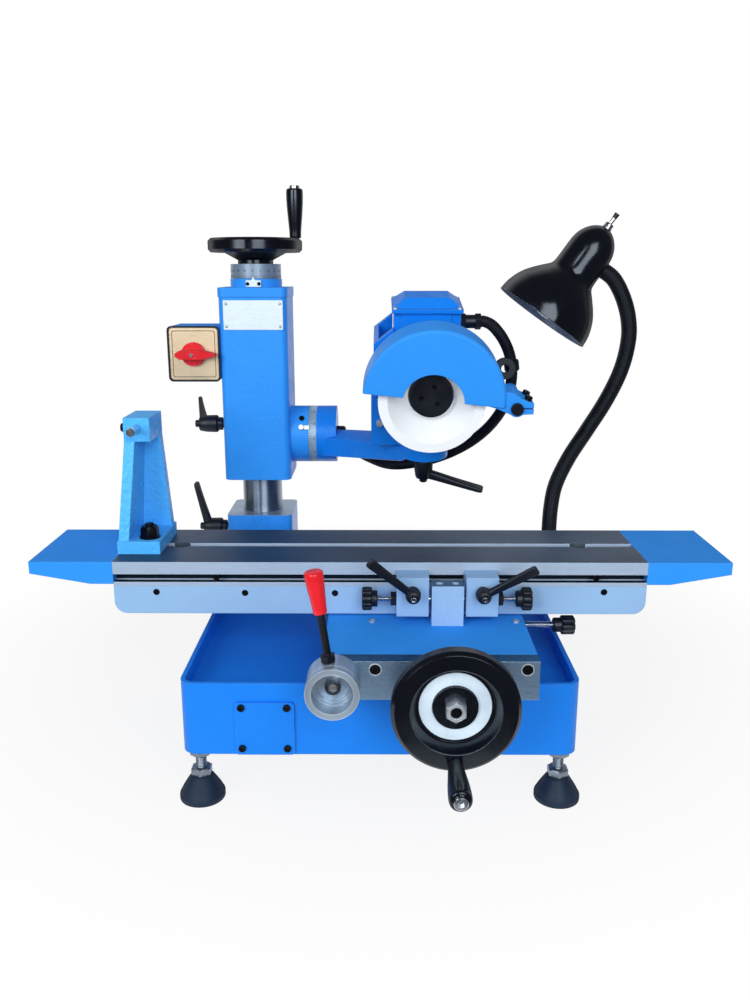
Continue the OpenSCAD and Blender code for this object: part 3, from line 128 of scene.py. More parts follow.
class Graph(Nodes):
    """A material of one Principled shader, fed step by step. Places are in metres in the shared frame."""

    def __init__(self, name, **plain):
        self.mat = bpy.data.materials.new(name)
        self.mat.use_nodes = True
        super().__init__(self.mat.node_tree)
        self.shader = self.add("ShaderNodeBsdfPrincipled")
        self.out = self.add("ShaderNodeOutputMaterial", {"Surface": self.shader.outputs["BSDF"]})
        self.coord = self.add("ShaderNodeTexCoord").outputs
        self.set(**plain)

    def set(self, **values):
        for socket, value in values.items():
            self.feed(self.shader.inputs[socket.replace("_", " ")], value)
        return self

    def noise(self, scale, detail=3.0, stretch=(1, 1, 1), rough=0.55, vector=None):
        if vector is None:
            vector = self.add("ShaderNodeMapping", {"Vector": self.coord["Object"], "Scale": stretch}).outputs["Vector"]
        inputs = {"Vector": vector, "Scale": scale, "Detail": detail, "Roughness": rough}
        return self.add("ShaderNodeTexNoise", inputs).outputs["Fac"]

    def cells(self, scale):
        return self.add("ShaderNodeTexVoronoi", {"Vector": self.coord["Object"], "Scale": scale}).outputs["Distance"]

    def mix(self, share, first, second):
        """A colour between two."""
        return self.add("ShaderNodeMix", {"Factor": share, 6: first, 7: second}, data_type="RGBA").outputs[2]

    def blend(self, share, first, second):
        """A number between two."""
        return self.add("ShaderNodeMix", {"Factor": share, 2: first, 3: second}, data_type="FLOAT").outputs[0]

    def vary(self, pattern, low, high, colour, dark, pale):
        """A colour that goes from a darker to a paler shade over a range of a pattern."""
        return self.mix(self.span(pattern, low, high), shade(colour, dark), shade(colour, pale))

    def away(self, point):
        return self.vector("SUBTRACT", self.coord["Object"], point)

    def along(self, point, direction):
        """Distance from a point along a direction."""
        return self.vector("DOT_PRODUCT", self.away(point), Vector(direction).normalized())

    def across(self, point, direction):
        """Distance from the line through a point along a direction."""
        return self.vector("LENGTH", self.vector("CROSS_PRODUCT", self.away(point), Vector(direction).normalized()))

    def upward(self):
        """How far the surface faces up, from -1 to 1."""
        return self.vector("DOT_PRODUCT", self.coord["Normal"], UP)

    def soft_edges(self, radius):
        """The normal as if edges were rounded."""
        return self.add("ShaderNodeBevel", {"Radius": radius}, samples=4).outputs["Normal"]

    def matter_rim(self, roughness, more):
        """Roughness that grows where the surface turns away, so a black edge doesn't mirror the background."""
        turn = self.add("ShaderNodeLayerWeight").outputs["Facing"]
        return self.calc("ADD", roughness, self.span(turn, 0.45, 0.95, 0.0, more))

    def bump(self, height, strength, depth, normal=None):
        inputs = {"Strength": strength, "Distance": depth, "Height": height}
        if normal is not None:
            inputs["Normal"] = normal
        return self.add("ShaderNodeBump", inputs).outputs["Normal"]

    def edge_wear(self, rounded, amount):
        """Share of edge where the rounded normal leaves the true one: paler as wear and, on paint, also as a painted
        highlight.
        """
        true = self.add("ShaderNodeNewGeometry").outputs["Normal"]
        edge = self.span(self.vector("DOT_PRODUCT", rounded, true), 0.985, 0.88)
        return self.calc("MULTIPLY", edge, self.span(self.noise(60, 4), 0.35, 0.7, 0.0, amount))


PAINT_TINT = (0.4, 0.72, 1.0)
STEEL_TINT = (0.2, 0.3, 0.42)
PLASTIC_TINT = (0.75, 0.86, 1.0)


def paint(name, colour, rough=0.4, grain=0.0, grain_scale=190.0):
    """Sprayed paint with orange peel, slight unevenness and paler edges, partly worn thin and partly a painted
    highlight; grain shows the casting.
    """
    g = Graph(name, Specular_IOR_Level=0.5, Specular_Tint=PAINT_TINT)
    rounded = g.soft_edges(0.0014)
    base = g.vary(g.noise(7, 4), 0.3, 0.7, colour, 0.94, 1.05)
    base = g.mix(g.span(g.noise(260, 2), 0.66, 0.8, 0.0, 0.06), base, shade(colour, 1.2))
    # Paler edges: partly wear, partly a painted highlight where light catches the rounded edges.
    worn_and_highlit_edge = tuple(min(1.0, 0.75 * c + 0.22) for c in colour)
    g.set(Base_Color=g.mix(g.edge_wear(rounded, 0.45), base, worn_and_highlit_edge))
    uneven = g.span(g.noise(40, 5), 0.25, 0.75, rough - 0.07, rough + 0.1)
    g.set(Roughness=g.calc("ADD", uneven, g.span(g.upward(), 0.5, 0.95, 0.0, 0.4)))
    normal = g.bump(g.noise(420, 2), 0.1, 0.0006, rounded)
    if grain:
        normal = g.bump(g.noise(grain_scale, 3, rough=0.6), grain, 0.0016, normal)
    return g.set(Normal=normal).mat


def ground(name, colour, way, rough, stain=0.2, top=None, metal=1.0, hollow=None, brush=0.15):
    """Ground metal: fine lines along one way, faint blotches, brighter edges, and a darker painted reflection on faces
    that look up.
    """
    g = Graph(name, Metallic=metal, Specular_Tint=STEEL_TINT)
    rounded = g.soft_edges(0.0008)
    lines = g.noise(55, 5, way, 0.7)
    cloud = g.noise(11, 5)
    base = g.vary(lines, 0.25, 0.75, colour, 1 - brush, 1 + brush)
    base = g.mix(g.span(cloud, 0.45, 0.75, 0.0, stain), base, shade(colour, 0.62))
    # Upward faces get a darker colour: a painted reflection, not the metal's own colour.
    if top:
        base = g.mix(g.step(g.upward(), 0.7, 0.1), base, g.vary(g.noise(4, 3), 0.3, 0.7, top, 0.65, 1.35))
    if hollow:
        # Hollows painted near black: painted shade.
        base = g.mix(hollow(g), base, shade(SHADED_STEEL, 0.2))
    g.set(Base_Color=g.mix(g.edge_wear(rounded, 0.7), base, shade(colour, 1.5)))
    lined = g.span(lines, 0.2, 0.8, rough - 0.07, rough + 0.1)
    g.set(Roughness=g.calc("ADD", lined, g.span(cloud, 0.4, 0.8, 0.0, 0.1)))
    return g.set(Normal=g.bump(lines, brush, 0.0003, rounded)).mat


def turned(name, colour, centre, axis, rough, streak=0.4, metal=1.0):
    """Turned metal: fine rings round an axis, bright edges."""
    g = Graph(name, Metallic=metal, Anisotropic=streak, Anisotropic_Rotation=0.25)
    longest = max(range(3), key=lambda k: abs(axis[k]))
    g.set(Tangent=g.add("ShaderNodeTangent", direction_type="RADIAL", axis="XYZ"[longest]).outputs[0])
    rounded = g.soft_edges(0.0007)
    rings = g.add("ShaderNodeCombineXYZ", {0: g.across(centre, axis), 1: g.along(centre, axis)}).outputs[0]
    cut = g.noise(2600, 3, vector=rings)
    base = g.vary(cut, 0.3, 0.7, colour, 0.82, 1.12)
    base = g.mix(g.span(g.noise(30, 4), 0.5, 0.8, 0.0, 0.25), base, shade(colour, 0.7))
    g.set(Base_Color=g.mix(g.edge_wear(rounded, 0.9), base, shade(colour, 1.5)))
    g.set(Roughness=g.span(cut, 0.2, 0.8, rough - 0.08, rough + 0.1))
    return g.set(Normal=g.bump(cut, 0.12, 0.0003, rounded)).mat


def plated(name, colour, rough=0.16):
    """Plated or polished metal with faint smears."""
    g = Graph(name, Metallic=1.0)
    rounded = g.soft_edges(0.0005)
    smear = g.noise(90, 5)
    g.set(Base_Color=g.vary(smear, 0.35, 0.7, colour, 0.85, 1.0))
    g.set(Roughness=g.span(smear, 0.3, 0.75, rough - 0.06, rough + 0.12))
    return g.set(Normal=g.bump(g.noise(700, 2), 0.05, 0.0002, rounded)).mat


def plastic(name, colour, rough, pale_edge=0.02):
    """Moulded plastic or enamel: faint moulding texture, dust, slightly paler edges."""
    g = Graph(name, Specular_IOR_Level=0.55, Specular_Tint=PLASTIC_TINT)
    rounded = g.soft_edges(0.0009)
    base = g.vary(g.noise(16, 4), 0.3, 0.7, colour, 0.8, 1.2)
    lifted = tuple(min(1.0, c + pale_edge) for c in colour)
    base = g.mix(g.span(g.noise(500, 2), 0.7, 0.85, 0.0, 0.12), base, lifted)
    g.set(Base_Color=g.mix(g.edge_wear(rounded, 0.35), base, lifted))
    g.set(Roughness=g.matter_rim(g.span(g.noise(45, 5), 0.25, 0.75, rough - 0.08, rough + 0.12), 0.6))
    return g.set(Normal=g.bump(g.noise(900, 2), 0.07, 0.0002, rounded)).mat


def rubber(name, colour, rough):
    """Rubber, cable sheath or ink, matt with dusty patches."""
    g = Graph(name, Specular_IOR_Level=0.25, Specular_Tint=PLASTIC_TINT)
    cloud = g.noise(35, 5)
    g.set(Base_Color=g.mix(g.span(cloud, 0.4, 0.8), colour, tuple(c + 0.007 for c in colour)))
    g.set(Roughness=g.matter_rim(g.span(cloud, 0.3, 0.7, rough - 0.1, rough + 0.15), 0.45))
    return g.set(Normal=g.bump(g.noise(1400, 2), 0.2, 0.0002, g.soft_edges(0.001))).mat


def abrasive(name):
    """White bonded grit with pores and faint stains."""
    g = Graph(name, Specular_IOR_Level=0.3)
    pores = g.noise(1100, 3)
    base = g.mix(g.span(g.cells(1500), 0.1, 0.6), (0.94, 0.965, 0.985), (0.82, 0.86, 0.90))
    base = g.mix(g.span(pores, 0.62, 0.75, 0.0, 0.45), base, (0.55, 0.58, 0.63))
    base = g.mix(g.span(g.noise(25, 5), 0.5, 0.8, 0.0, 0.18), base, (0.72, 0.74, 0.78))
    g.set(Base_Color=base, Roughness=g.span(pores, 0.3, 0.7, 0.78, 0.95))
    return g.set(Normal=g.bump(pores, 0.35, 0.0004)).mat


def two_tone(name, share, first, second, rounded_by=0.0009):
    """Two finishes on one solid, split by place. Each is (colour, metallic, roughness)."""
    g = Graph(name)
    part = share(g)
    cloud = g.noise(30, 4)
    rounded = g.soft_edges(rounded_by)
    base = g.mix(part, *(g.vary(cloud, 0.3, 0.7, finish[0], 0.94, 1.05) for finish in (first, second)))
    worn = g.mix(part, shade(first[0], 1.5), shade(second[0], 1.5))
    g.set(Base_Color=g.mix(g.edge_wear(rounded, 0.4), base, worn))
    g.set(Metallic=g.blend(part, first[1], second[1]))
    uneven = g.span(g.noise(60, 5), 0.3, 0.7, -0.06, 0.08)
    g.set(Roughness=g.calc("ADD", g.blend(part, first[2], second[2]), uneven))
    return g.set(Normal=g.bump(g.noise(700, 2), 0.06, 0.0002, rounded)).mat


BLUE = (0.026, 0.285, 0.88)
# Darker copy of the same blue paint: painted shade for the base, arm and motor, which get less light.
SHADED_BLUE = (0.006, 0.195, 0.77)
# Paler copy of the same blue: painted light for the tailstock's glowing hammered paint.
LIT_TAIL_BLUE = (0.075, 0.44, 0.98)
GREY = (0.27, 0.45, 0.70)
STEEL = (0.40, 0.51, 0.66)
FEED_STEEL = (0.5, 0.53, 0.57)
# Dark steel colour, painted on upward faces as reflection and in the table's hollows as shade
SHADED_STEEL = (0.024, 0.058, 0.108)
BRIGHT = (0.52, 0.58, 0.66)
BLACK = (0.002, 0.0025, 0.006)
RED = (0.80, 0.014, 0.022)

# The wheelhead leans forward about the arm's tilt axis. Its places are given upright, in millimetres.
LEAN = math.radians(10)
LEAN_AXLE = Vector((0, math.cos(LEAN), math.sin(LEAN)))
TILT = Vector((0, 150, 347))
LEANING = Matrix.Translation(TILT) @ Matrix.Rotation(LEAN, 4, "X") @ Matrix.Translation(-TILT)
SPINDLE = LEANING @ Vector((60, 0, 457))

# The lamp's rim, in metres, the way from there to its toggle, and how far along that way the toggle's tip starts
LAMP_LEAN = math.radians(35)
LAMP_RIM = (0.214, 0.122, 0.508)
LAMP_WAY = (math.sin(LAMP_LEAN), 0.0, math.cos(LAMP_LEAN))
TOGGLE_TIP = 0.1535

# Hollows of the table and the column socket's top, in metres
SLOT_FRONT, SLOT_LOW, SLOT_HIGH = -0.1365, 0.2283, 0.2377
ENTRY_X, ENTRY_Y, ENTRY_R = 0.236, -0.072, 0.0111
FALLING = -0.0002
SOCKET_TOP = 0.240


def table_hollows(g):
    """Inside of the front slot and of the T-slot's two round entries, where near-black shade is painted."""
    deep = g.step(g.along((0, SLOT_FRONT, 0), BACK), 0.0)
    above = g.step(g.along((0, 0, SLOT_LOW), UP), 0.0)
    below = g.step(g.along((0, 0, SLOT_HIGH), UP), 0.0, FALLING)
    slot = g.calc("MULTIPLY", deep, g.calc("MULTIPLY", above, below))
    entries = [g.step(g.across((x, ENTRY_Y, 0), UP), ENTRY_R, FALLING) for x in (-ENTRY_X, ENTRY_X)]
    return g.calc("MAXIMUM", slot, g.calc("MAXIMUM", *entries))


def toggle_tip(g):
    """The toggle's end, past its bright stem."""
    return g.step(g.along(LAMP_RIM, LAMP_WAY), TOGGLE_TIP)


def socket_top(g):
    """The socket's machined top face."""
    return g.step(g.along((0, 0, SOCKET_TOP), UP), -0.0003, 0.00015)


blue_paint = paint("blue_paint", BLUE)
# Base, arm and motor in the darker copy of the blue: painted shade.
shaded_base_blue = paint("shaded_base_blue", SHADED_BLUE)
cast_blue = paint("cast_blue", BLUE, grain=0.35)
# Hammered texture is real; the paler colour is painted light.
lit_rough_blue = paint("lit_rough_blue", LIT_TAIL_BLUE, rough=0.22, grain=1.0, grain_scale=150)
shaded_cast_blue = paint("shaded_cast_blue", SHADED_BLUE, rough=0.24, grain=0.4)
grey_paint = paint("grey_paint", GREY, rough=0.45)
table_steel = ground("table_steel", STEEL, (1, 45, 45), 0.4, top=SHADED_STEEL, metal=0.3, hollow=table_hollows)
block_steel = ground("block_steel", (0.26, 0.40, 0.58), (1, 50, 50), 0.24, top=shade(SHADED_STEEL, 2), metal=0.75,
                     brush=0.05)
stop_steel = ground("stop_steel", (0.33, 0.53, 0.78), (50, 50, 2), 0.42, stain=0.05, top=shade(SHADED_STEEL, 1.8),
                    metal=0.2)
gold_plate = ground("gold_plate", (0.90, 0.72, 0.50), (2, 2, 60), 0.3, stain=0.08)
silver_plate = ground("silver_plate", (0.72, 0.83, 0.93), (2, 50, 50), 0.34, stain=0.04, metal=0.2)
post_steel = turned("post_steel", (0.30, 0.37, 0.45), (-0.167, 0.150, 0.3), UP, 0.36, streak=0.9)
cup_aluminium = turned("cup_aluminium", (0.38, 0.49, 0.61), (-0.046, -0.28, 0.170), BACK, 0.36, metal=0.7)
ring_aluminium = turned("ring_aluminium", (0.30, 0.44, 0.58), (-0.09, 0.150, 0.347), RIGHT, 0.45, metal=0.3)
dial_grey = turned("dial_grey", (0.25, 0.34, 0.45), (-0.167, 0.150, 0.57), UP, 0.4, metal=0.4)
screw_steel = turned("screw_steel", FEED_STEEL, (0.073, -0.2, 0.161), BACK, 0.28)
shaft_steel = turned("shaft_steel", FEED_STEEL, (-0.046, -0.2, 0.170), BACK, 0.28)
lift_steel = turned("lift_steel", FEED_STEEL, (-0.167, 0.150, 0.4), UP, 0.28)
spindle_steel = turned("spindle_steel", BRIGHT, SPINDLE * MM, LEAN_AXLE, 0.22)
pin_steel = turned("pin_steel", BRIGHT, (-0.2765, -0.1, 0.3943), BACK, 0.2)
chrome = plated("chrome", (0.55, 0.60, 0.66))
foot_steel = plated("foot_steel", (0.26, 0.31, 0.37), rough=0.4)
zinc = plated("zinc", (0.74, 0.80, 0.88), rough=0.46)
screw_grey = plated("screw_grey", (0.12, 0.15, 0.19), rough=0.3)
black_oxide = plated("black_oxide", (0.018, 0.021, 0.028), rough=0.34)
bronze = plated("bronze", (0.45, 0.28, 0.12), rough=0.3)
black_gloss = plastic("black_gloss", BLACK, 0.16)
black_satin = plastic("black_satin", BLACK, 0.38)
shade_black = plastic("shade_black", BLACK, 0.12)
shade_grey = plastic("shade_grey", (0.13, 0.17, 0.27), 0.34, pale_edge=0.1)
white_enamel = plastic("white_enamel", (0.62, 0.75, 0.90), 0.3, pale_edge=0.1)
red_plastic = plastic("red_plastic", RED, 0.22, pale_edge=0.12)
bulb = plastic("bulb", (0.93, 0.93, 0.90), 0.22, pale_edge=0.05)
black_rubber = rubber("black_rubber", (0.009, 0.019, 0.042), 0.5)
cable_sheath = rubber("cable_sheath", BLACK, 0.5)
hose_black = rubber("hose_black", (0.002, 0.003, 0.006), 0.42)
ink = rubber("ink", (0.02, 0.022, 0.03), 0.6)
wheel_white = abrasive("wheel_white")
toggle_two = two_tone("toggle_two", toggle_tip, ((0.7, 0.72, 0.75), 1.0, 0.18), (BLACK, 0.0, 0.3))
socket_two = two_tone("socket_two", socket_top, (BLUE, 0.0, 0.28), ((0.30, 0.40, 0.52), 0.6, 0.4), 0.0012)

FINISHES = {
    blue_paint: "switch_box head_cap saddle_body end_covers wheel_guard",
    shaded_base_blue: "base_pan base_cover",
    cast_blue: "head_casting",
    shaded_cast_blue: "arm_casting motor_body terminal_box fan_cover",
    lit_rough_blue: "tailstock",
    grey_paint: "table_apron left_dog right_dog",
    table_steel: "table_plate cross_bed traverse_rack",
    block_steel: "front_block",
    stop_steel: "centre_stop",
    post_steel: "column_post",
    cup_aluminium: "traverse_hub",
    ring_aluminium: "angle_ring",
    dial_grey: "lift_dial",
    screw_steel: "cross_screw",
    shaft_steel: "traverse_shaft",
    lift_steel: "lift_screw",
    spindle_steel: "spindle_shaft spindle_bearings",
    pin_steel: "centre_pin",
    chrome: "foot_studs",
    black_gloss: "cross_handwheel lift_handwheel cross_grip lift_grip",
    black_satin: "column_lock_lever head_lock_lever motor_lock_lever left_dog_lever right_dog_lever cable_gland "
                 "guard_rod wheel_flange left_dog_screw right_dog_screw saddle_lock",
    black_rubber: "foot_pads motor_cable",
    hose_black: "gooseneck lamp_bracket",
    red_plastic: "switch_knob traverse_lever",
    wheel_white: "grinding_wheel",
    bronze: "cross_nut lift_nut",
    bulb: "lamp_bulb",
    shade_black: "lamp_shade",
    toggle_two: "lamp_switch",
    socket_two: "column_socket",
}
for finish, names in FINISHES.items():
    for node_name in names.split():
        slots = nodes[node_name].data.materials
        for index in range(len(slots)):
            slots[index] = finish


# Outlines and frames, in millimetres. An outline has its own frame, with Z outwards.

def turns(count):
    """Even angles round a circle."""
    return [2 * math.pi * k / count for k in range(count)]


def polar(radius, angle, z):
    return radius * math.cos(angle), radius * math.sin(angle), z


def circle(radius, z, count=28):
    return [polar(radius, angle, z) for angle in turns(count)]


def hexagon(flat, z, count=24):
    """Hexagon of a width across its flats."""
    points = []
    for angle in turns(count):
        off = (angle + math.pi / 6) % (math.pi / 3) - math.pi / 6
        points.append(polar(flat / 2 / math.cos(off), angle, z))
    return points


def lobed(radius, z, lobes, deep, count):
    """Circle with notches between its lobes."""
    return [polar(radius - deep * (1 - abs(math.cos(lobes * angle / 2))) ** 2, angle, z) for angle in turns(count)]


def round_rect(width, height, radius, z, steps=5):
    points = []
    for turn, (sx, sy) in enumerate(((1, 1), (-1, 1), (-1, -1), (1, -1))):
        for k in range(steps + 1):
            angle = math.radians(90 * turn + 90 * k / steps)
            points.append((sx * (width / 2 - radius) + radius * math.cos(angle),
                           sy * (height / 2 - radius) + radius * math.sin(angle), z))
    return points


def on_curve(route, t):
    """Point on the smooth curve through the route, where t counts its points."""
    n = len(route) - 1
    i = min(int(t), n - 1)
    u = t - i
    a, b, c, d = (Vector(route[k]) for k in (max(i - 1, 0), i, i + 1, min(i + 2, n)))
    return (2 * b + (c - a) * u + (2 * a - 5 * b + 4 * c - d) * u * u + (3 * b - 3 * c + d - a) * u ** 3) / 2


def smooth_line(line, steps=4):
    """A turned outline of (radius, height) with points added on a smooth curve."""
    route = [Vector((z, r, 0)) for r, z in line]
    count = (len(route) - 1) * steps
    return [(p.y, p.x) for p in (on_curve(route, k / steps) for k in range(count + 1))]


def inset(line, by):
    """A turned outline of (radius, height) moved inwards, square to itself."""
    moved = []
    for k, (r, z) in enumerate(line):
        (r_a, z_a), (r_b, z_b) = line[max(k - 1, 0)], line[min(k + 1, len(line) - 1)]
        way = Vector((z_b - z_a, r_b - r_a)).normalized()
        moved.append((max(r - by * way.x, 0.4), max(z + by * way.y, 0.0)))
    return moved


def round_heading(turn, first, second):
    """A heading turned by degrees from the first axis towards the second."""
    angle = math.radians(turn)
    return Vector(first) * math.cos(angle) + Vector(second) * math.sin(angle)


def facing(point, out, side=None):
    """Frame at a point with Z along out and X near side."""
    z = Vector(out).normalized()
    guess = Vector(side or (RIGHT if abs(z.x) < 0.9 else BACK))
    x = (guess - guess.dot(z) * z).normalized()
    y = z.cross(x)
    return Matrix((*((x[k], y[k], z[k], point[k]) for k in range(3)), (0, 0, 0, 1)))


NUT_FACE = 0.47  # radius of a nut's round face, as a share of its width


class Shape:
    """Faces gathered in millimetres in the shared frame, then made into one piece."""

    def __init__(self):
        self.points = []
        self.faces = []

    def rings(self, rings, place, closed=True):
        """Outlines joined one to the next, with both ends closed."""
        start, count = len(self.points), len(rings[0])
        for ring in rings:
            self.points += [place @ Vector(p) for p in ring]
        for i in range(len(rings) - 1):
            a, b = start + i * count, start + (i + 1) * count
            for k in range(count):
                n = (k + 1) % count
                self.faces.append((a + k, a + n, b + n, b + k))
        if closed:
            end = start + (len(rings) - 1) * count
            self.faces.append(tuple(range(start + count - 1, start - 1, -1)))
            self.faces.append(tuple(range(end, end + count)))
        return self

    def loop(self, rings, place):
        """Outlines that close on the first one, such as a frame."""
        return self.rings(rings + rings[:1], place, closed=False)

    def spin(self, line, place, count=28):
        """Turned solid from its outline of (radius, height)."""
        return self.rings([circle(r, z, count) for r, z in line], place)

    def band(self, line, place, count=28):
        """Turned ring from an outline of (radius, height) that closes on itself."""
        return self.loop([circle(r, z, count) for r, z in line], place)

    def socket_screw(self, place, head, height, key=None, sink=None):
        """Round screw head with a hexagon socket."""
        key = key or head * 0.52
        sink = sink or min(height * 0.7, key)
        r, edge = head / 2, head * 0.05
        return self.rings([circle(r, 0, 24), circle(r, height - edge, 24), circle(r - edge, height, 24),
                           hexagon(key, height), hexagon(key, height - sink)], place)

    def hex_head(self, place, flat, height):
        return self.rings([hexagon(flat, 0), hexagon(flat, height * 0.8), circle(flat * NUT_FACE, height, 24)], place)

    def nut(self, place, flat, face, low, high, edge):
        """Nut with a round face at both ends."""
        return self.rings([circle(face, low, 24), hexagon(flat, low + edge), hexagon(flat, high - edge),
                           circle(face, high, 24)], place)

    def sleeve_nut(self, place, flat, height, hollow):
        """Nut with a blind hole."""
        return self.rings([hexagon(flat, 0), hexagon(flat, height * 0.86), circle(flat * NUT_FACE, height, 24),
                           circle(hollow + 0.5, height, 24), circle(hollow, height - 0.6, 24),
                           circle(hollow, height * 0.35, 24)], place)

    def star_knob(self, place, across, long, boss, lobes, deep, count=96):
        """Lobed knob on a plain boss, from the boss's foot upwards."""
        low, r, b = 0.36 * long, across / 2, boss / 2
        rings = [circle(b - 0.8, 0, count), circle(b, 0.8, count), circle(b, low, count)]
        edges = (1.6, low), (0.3, low + 0.7), (0, low + 1.6), (0, long - 1.6), (0.4, long - 0.7), (1.6, long)
        rings += [lobed(r - inward, z, lobes, deep, count) for inward, z in edges]
        return self.rings(rings + [circle(0.6 * r, long, count), circle(0.56 * r, long - 0.5, count)], place)

    def thread(self, place, radius, low, high, pitch, deep=0.4):
        count = int((high - low) / pitch * 2)
        return self.spin([(radius - deep * (k % 2), low + k * pitch / 2) for k in range(count + 1)], place, 20)

    def plate(self, place, width, height, thick, radius, edge=0.3):
        return self.rings([round_rect(width, height, radius, 0), round_rect(width, height, radius, thick - edge),
                           round_rect(width - 2 * edge, height - 2 * edge, radius, thick)], place)

    def frame(self, place, width, height, thick, wall, radius):
        inner = (width - 2 * wall, height - 2 * wall, max(radius - wall / 2, 0.4))
        return self.loop([round_rect(width, height, radius, 0), round_rect(width, height, radius, thick),
                          round_rect(*inner, thick), round_rect(*inner, 0)], place)

    def rivet(self, place, across, height, steps=4):
        line = [(across / 2, 0)]
        for k in range(1, steps + 1):
            angle = math.radians(90 * k / steps)
            line.append((max(across / 2 * math.cos(angle), 0.02), height * math.sin(angle)))
        return self.spin(line, place, 16)

    def block(self, place, size):
        x, y = size[0] / 2, size[1] / 2
        return self.rings([[(-x, -y, z), (x, -y, z), (x, y, z), (-x, y, z)] for z in (0, size[2])], place)

    def letters(self, place, text, size):
        curve = bpy.data.curves.new("letters", "FONT")
        curve.body, curve.size, curve.extrude = text, size, 0.03
        curve.align_x, curve.align_y, curve.resolution_u = "CENTER", "CENTER", 3
        holder = put("letters", curve)
        bpy.context.view_layer.update()
        mesh = bpy.data.meshes.new_from_object(holder.evaluated_get(bpy.context.evaluated_depsgraph_get()))
        start = len(self.points)
        self.points += [place @ v.co for v in mesh.vertices]
        self.faces += [tuple(start + i for i in polygon.vertices) for polygon in mesh.polygons]
        bpy.data.objects.remove(holder)
        bpy.data.curves.remove(curve)
        bpy.data.meshes.remove(mesh)
        return self

    def build(self, name, finish, slot, sharp=35):
        """The piece, smooth where its faces turn by less than sharp degrees."""
        mesh = bpy.data.meshes.new(name)
        mesh.from_pydata([p * MM for p in map(Vector, self.points)], [], self.faces)
        work = bmesh.new()
        work.from_mesh(mesh)
        bmesh.ops.recalc_face_normals(work, faces=work.faces)
        work.to_mesh(mesh)
        work.free()
        mesh.shade_smooth()
        mesh.set_sharp_from_angle(angle=math.radians(sharp))
        mesh.materials.append(finish)
        piece = put(name, mesh)
        return piece

    def make(self, name, body, finish, slot, sharp=35):
        """The piece, riding on a body."""
        piece = self.build(name, finish, slot, sharp)
        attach(piece, body)
        return piece


def screws(name, body, places, head, height, finish=black_oxide, slot="black_steel", **socket):
    """Socket screws of one size, as one piece."""
    shape = Shape()
    for place in places:
        shape.socket_screw(place, head, height, **socket)
    shape.make(name, body, finish, slot)


# Lamp hose and motor cable, on the routes of their solids

FINE_STEPS, TUBE_SIDES = 200, 20


def even_points(route, step):
    """Points along the route's curve at even steps of about that length, their headings, and the curve's length."""
    n = len(route) - 1
    fine = [on_curve(route, k / FINE_STEPS) for k in range(FINE_STEPS * n + 1)]
    length = [0.0]
    for a, b in zip(fine, fine[1:]):
        length.append(length[-1] + (b - a).length)
    count = round(length[-1] / step)
    points, k = [], 0
    for j in range(count + 1):
        want = length[-1] * j / count
        while k < len(fine) - 2 and length[k + 1] < want:
            k += 1
        share = (want - length[k]) / (length[k + 1] - length[k])
        points.append(fine[k].lerp(fine[k + 1], share))
    ways = [(points[min(j + 1, count)] - points[max(j - 1, 0)]).normalized() for j in range(count + 1)]
    ways[0] = (Vector(route[1]) - Vector(route[0])).normalized()
    ways[-1] = (Vector(route[-1]) - Vector(route[-2])).normalized()
    return points, ways, length[-1]


def tube(points, ways, radii):
    """Rings round a line, carried along it without twist."""
    side = ways[0].orthogonal().normalized()
    rings = []
    for point, way, radius in zip(points, ways, radii):
        side = (side - side.dot(way) * way).normalized()
        other = way.cross(side)
        rings.append([point + radius * (math.cos(a) * side + math.sin(a) * other) for a in turns(TUBE_SIDES)])
    return Shape().rings(rings, Matrix.Identity(4))


HOSE = [(238, 122, 141), (238, 122, 190), (238, 122, 215), (239, 122, 247), (244, 122, 280), (260, 122, 318),
        (283, 122, 357), (305, 122, 395), (322, 122, 433), (330, 122, 466), (331, 122, 496), (323, 122, 528),
        (307, 122, 557), (288.231, 122, 570.776)]
CABLE = [(123.5, 30.28, 507.65), (128.5, 30.28, 507.65), (139, 32, 502), (151, 34, 488), (160, 37, 471), (165, 41, 453),
         (166, 45, 434), (163, 51, 412), (153, 58, 388), (137, 66, 366), (114, 75, 346), (84, 85, 329), (49, 96, 317),
         (14, 112, 311), (-16, 142, 315), (-46, 171.84, 325.16), (-60, 171.84, 325.16)]
HOSE_R, RIB_STEP, RIB_LINE = 10.5, 0.62, (1.0, 0.98, 0.93, 0.98)
CABLE_R, CABLE_STEP = 7.0, 3.0

points, ways, _ = even_points(HOSE, RIB_STEP)
radii = [HOSE_R * RIB_LINE[k % len(RIB_LINE)] for k in range(len(points))]
gooseneck = tube(points, ways, radii).build("gooseneck_ribbed", hose_black, "black_steel", 80)
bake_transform(gooseneck)
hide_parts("gooseneck")

points, ways, cable_length = even_points(CABLE, CABLE_STEP)
sheath = tube(points, ways, [CABLE_R] * len(points)).build("cable_sheath", cable_sheath, "black_rubber", 80)
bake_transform(sheath)
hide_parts("motor_cable")


# Lamp shade and its toggle's bushing

SHADE_LINE = ((67, 0), (66.9, 2), (64.8, 16), (58.5, 32), (50, 44.5), (39.8, 56), (33.2, 63), (30.9, 68), (30.2, 76),
              (30, 98), (29.4, 108), (27, 117), (22.6, 125), (16.2, 132), (9, 136.6), (4, 138.2))
SHADE_WALL, LINING_GAP, BEAD_R = 1.0, 0.02, 0.5
BUSHING = ((4.6, 136.5), (6.6, 136.5), (6.6, 139.8), (6.0, 140.4), (6.0, 144.4), (5.7, 145), (4.6, 145))
lamp_stand = facing([c / MM for c in LAMP_RIM], LAMP_WAY)
shade_line = smooth_line(SHADE_LINE)


def shell(outer, inner):
    """Wall of the shade between two depths below its outline."""
    return Shape().band(inset(shade_line, outer) + inset(shade_line, inner)[::-1], lamp_stand, 72)


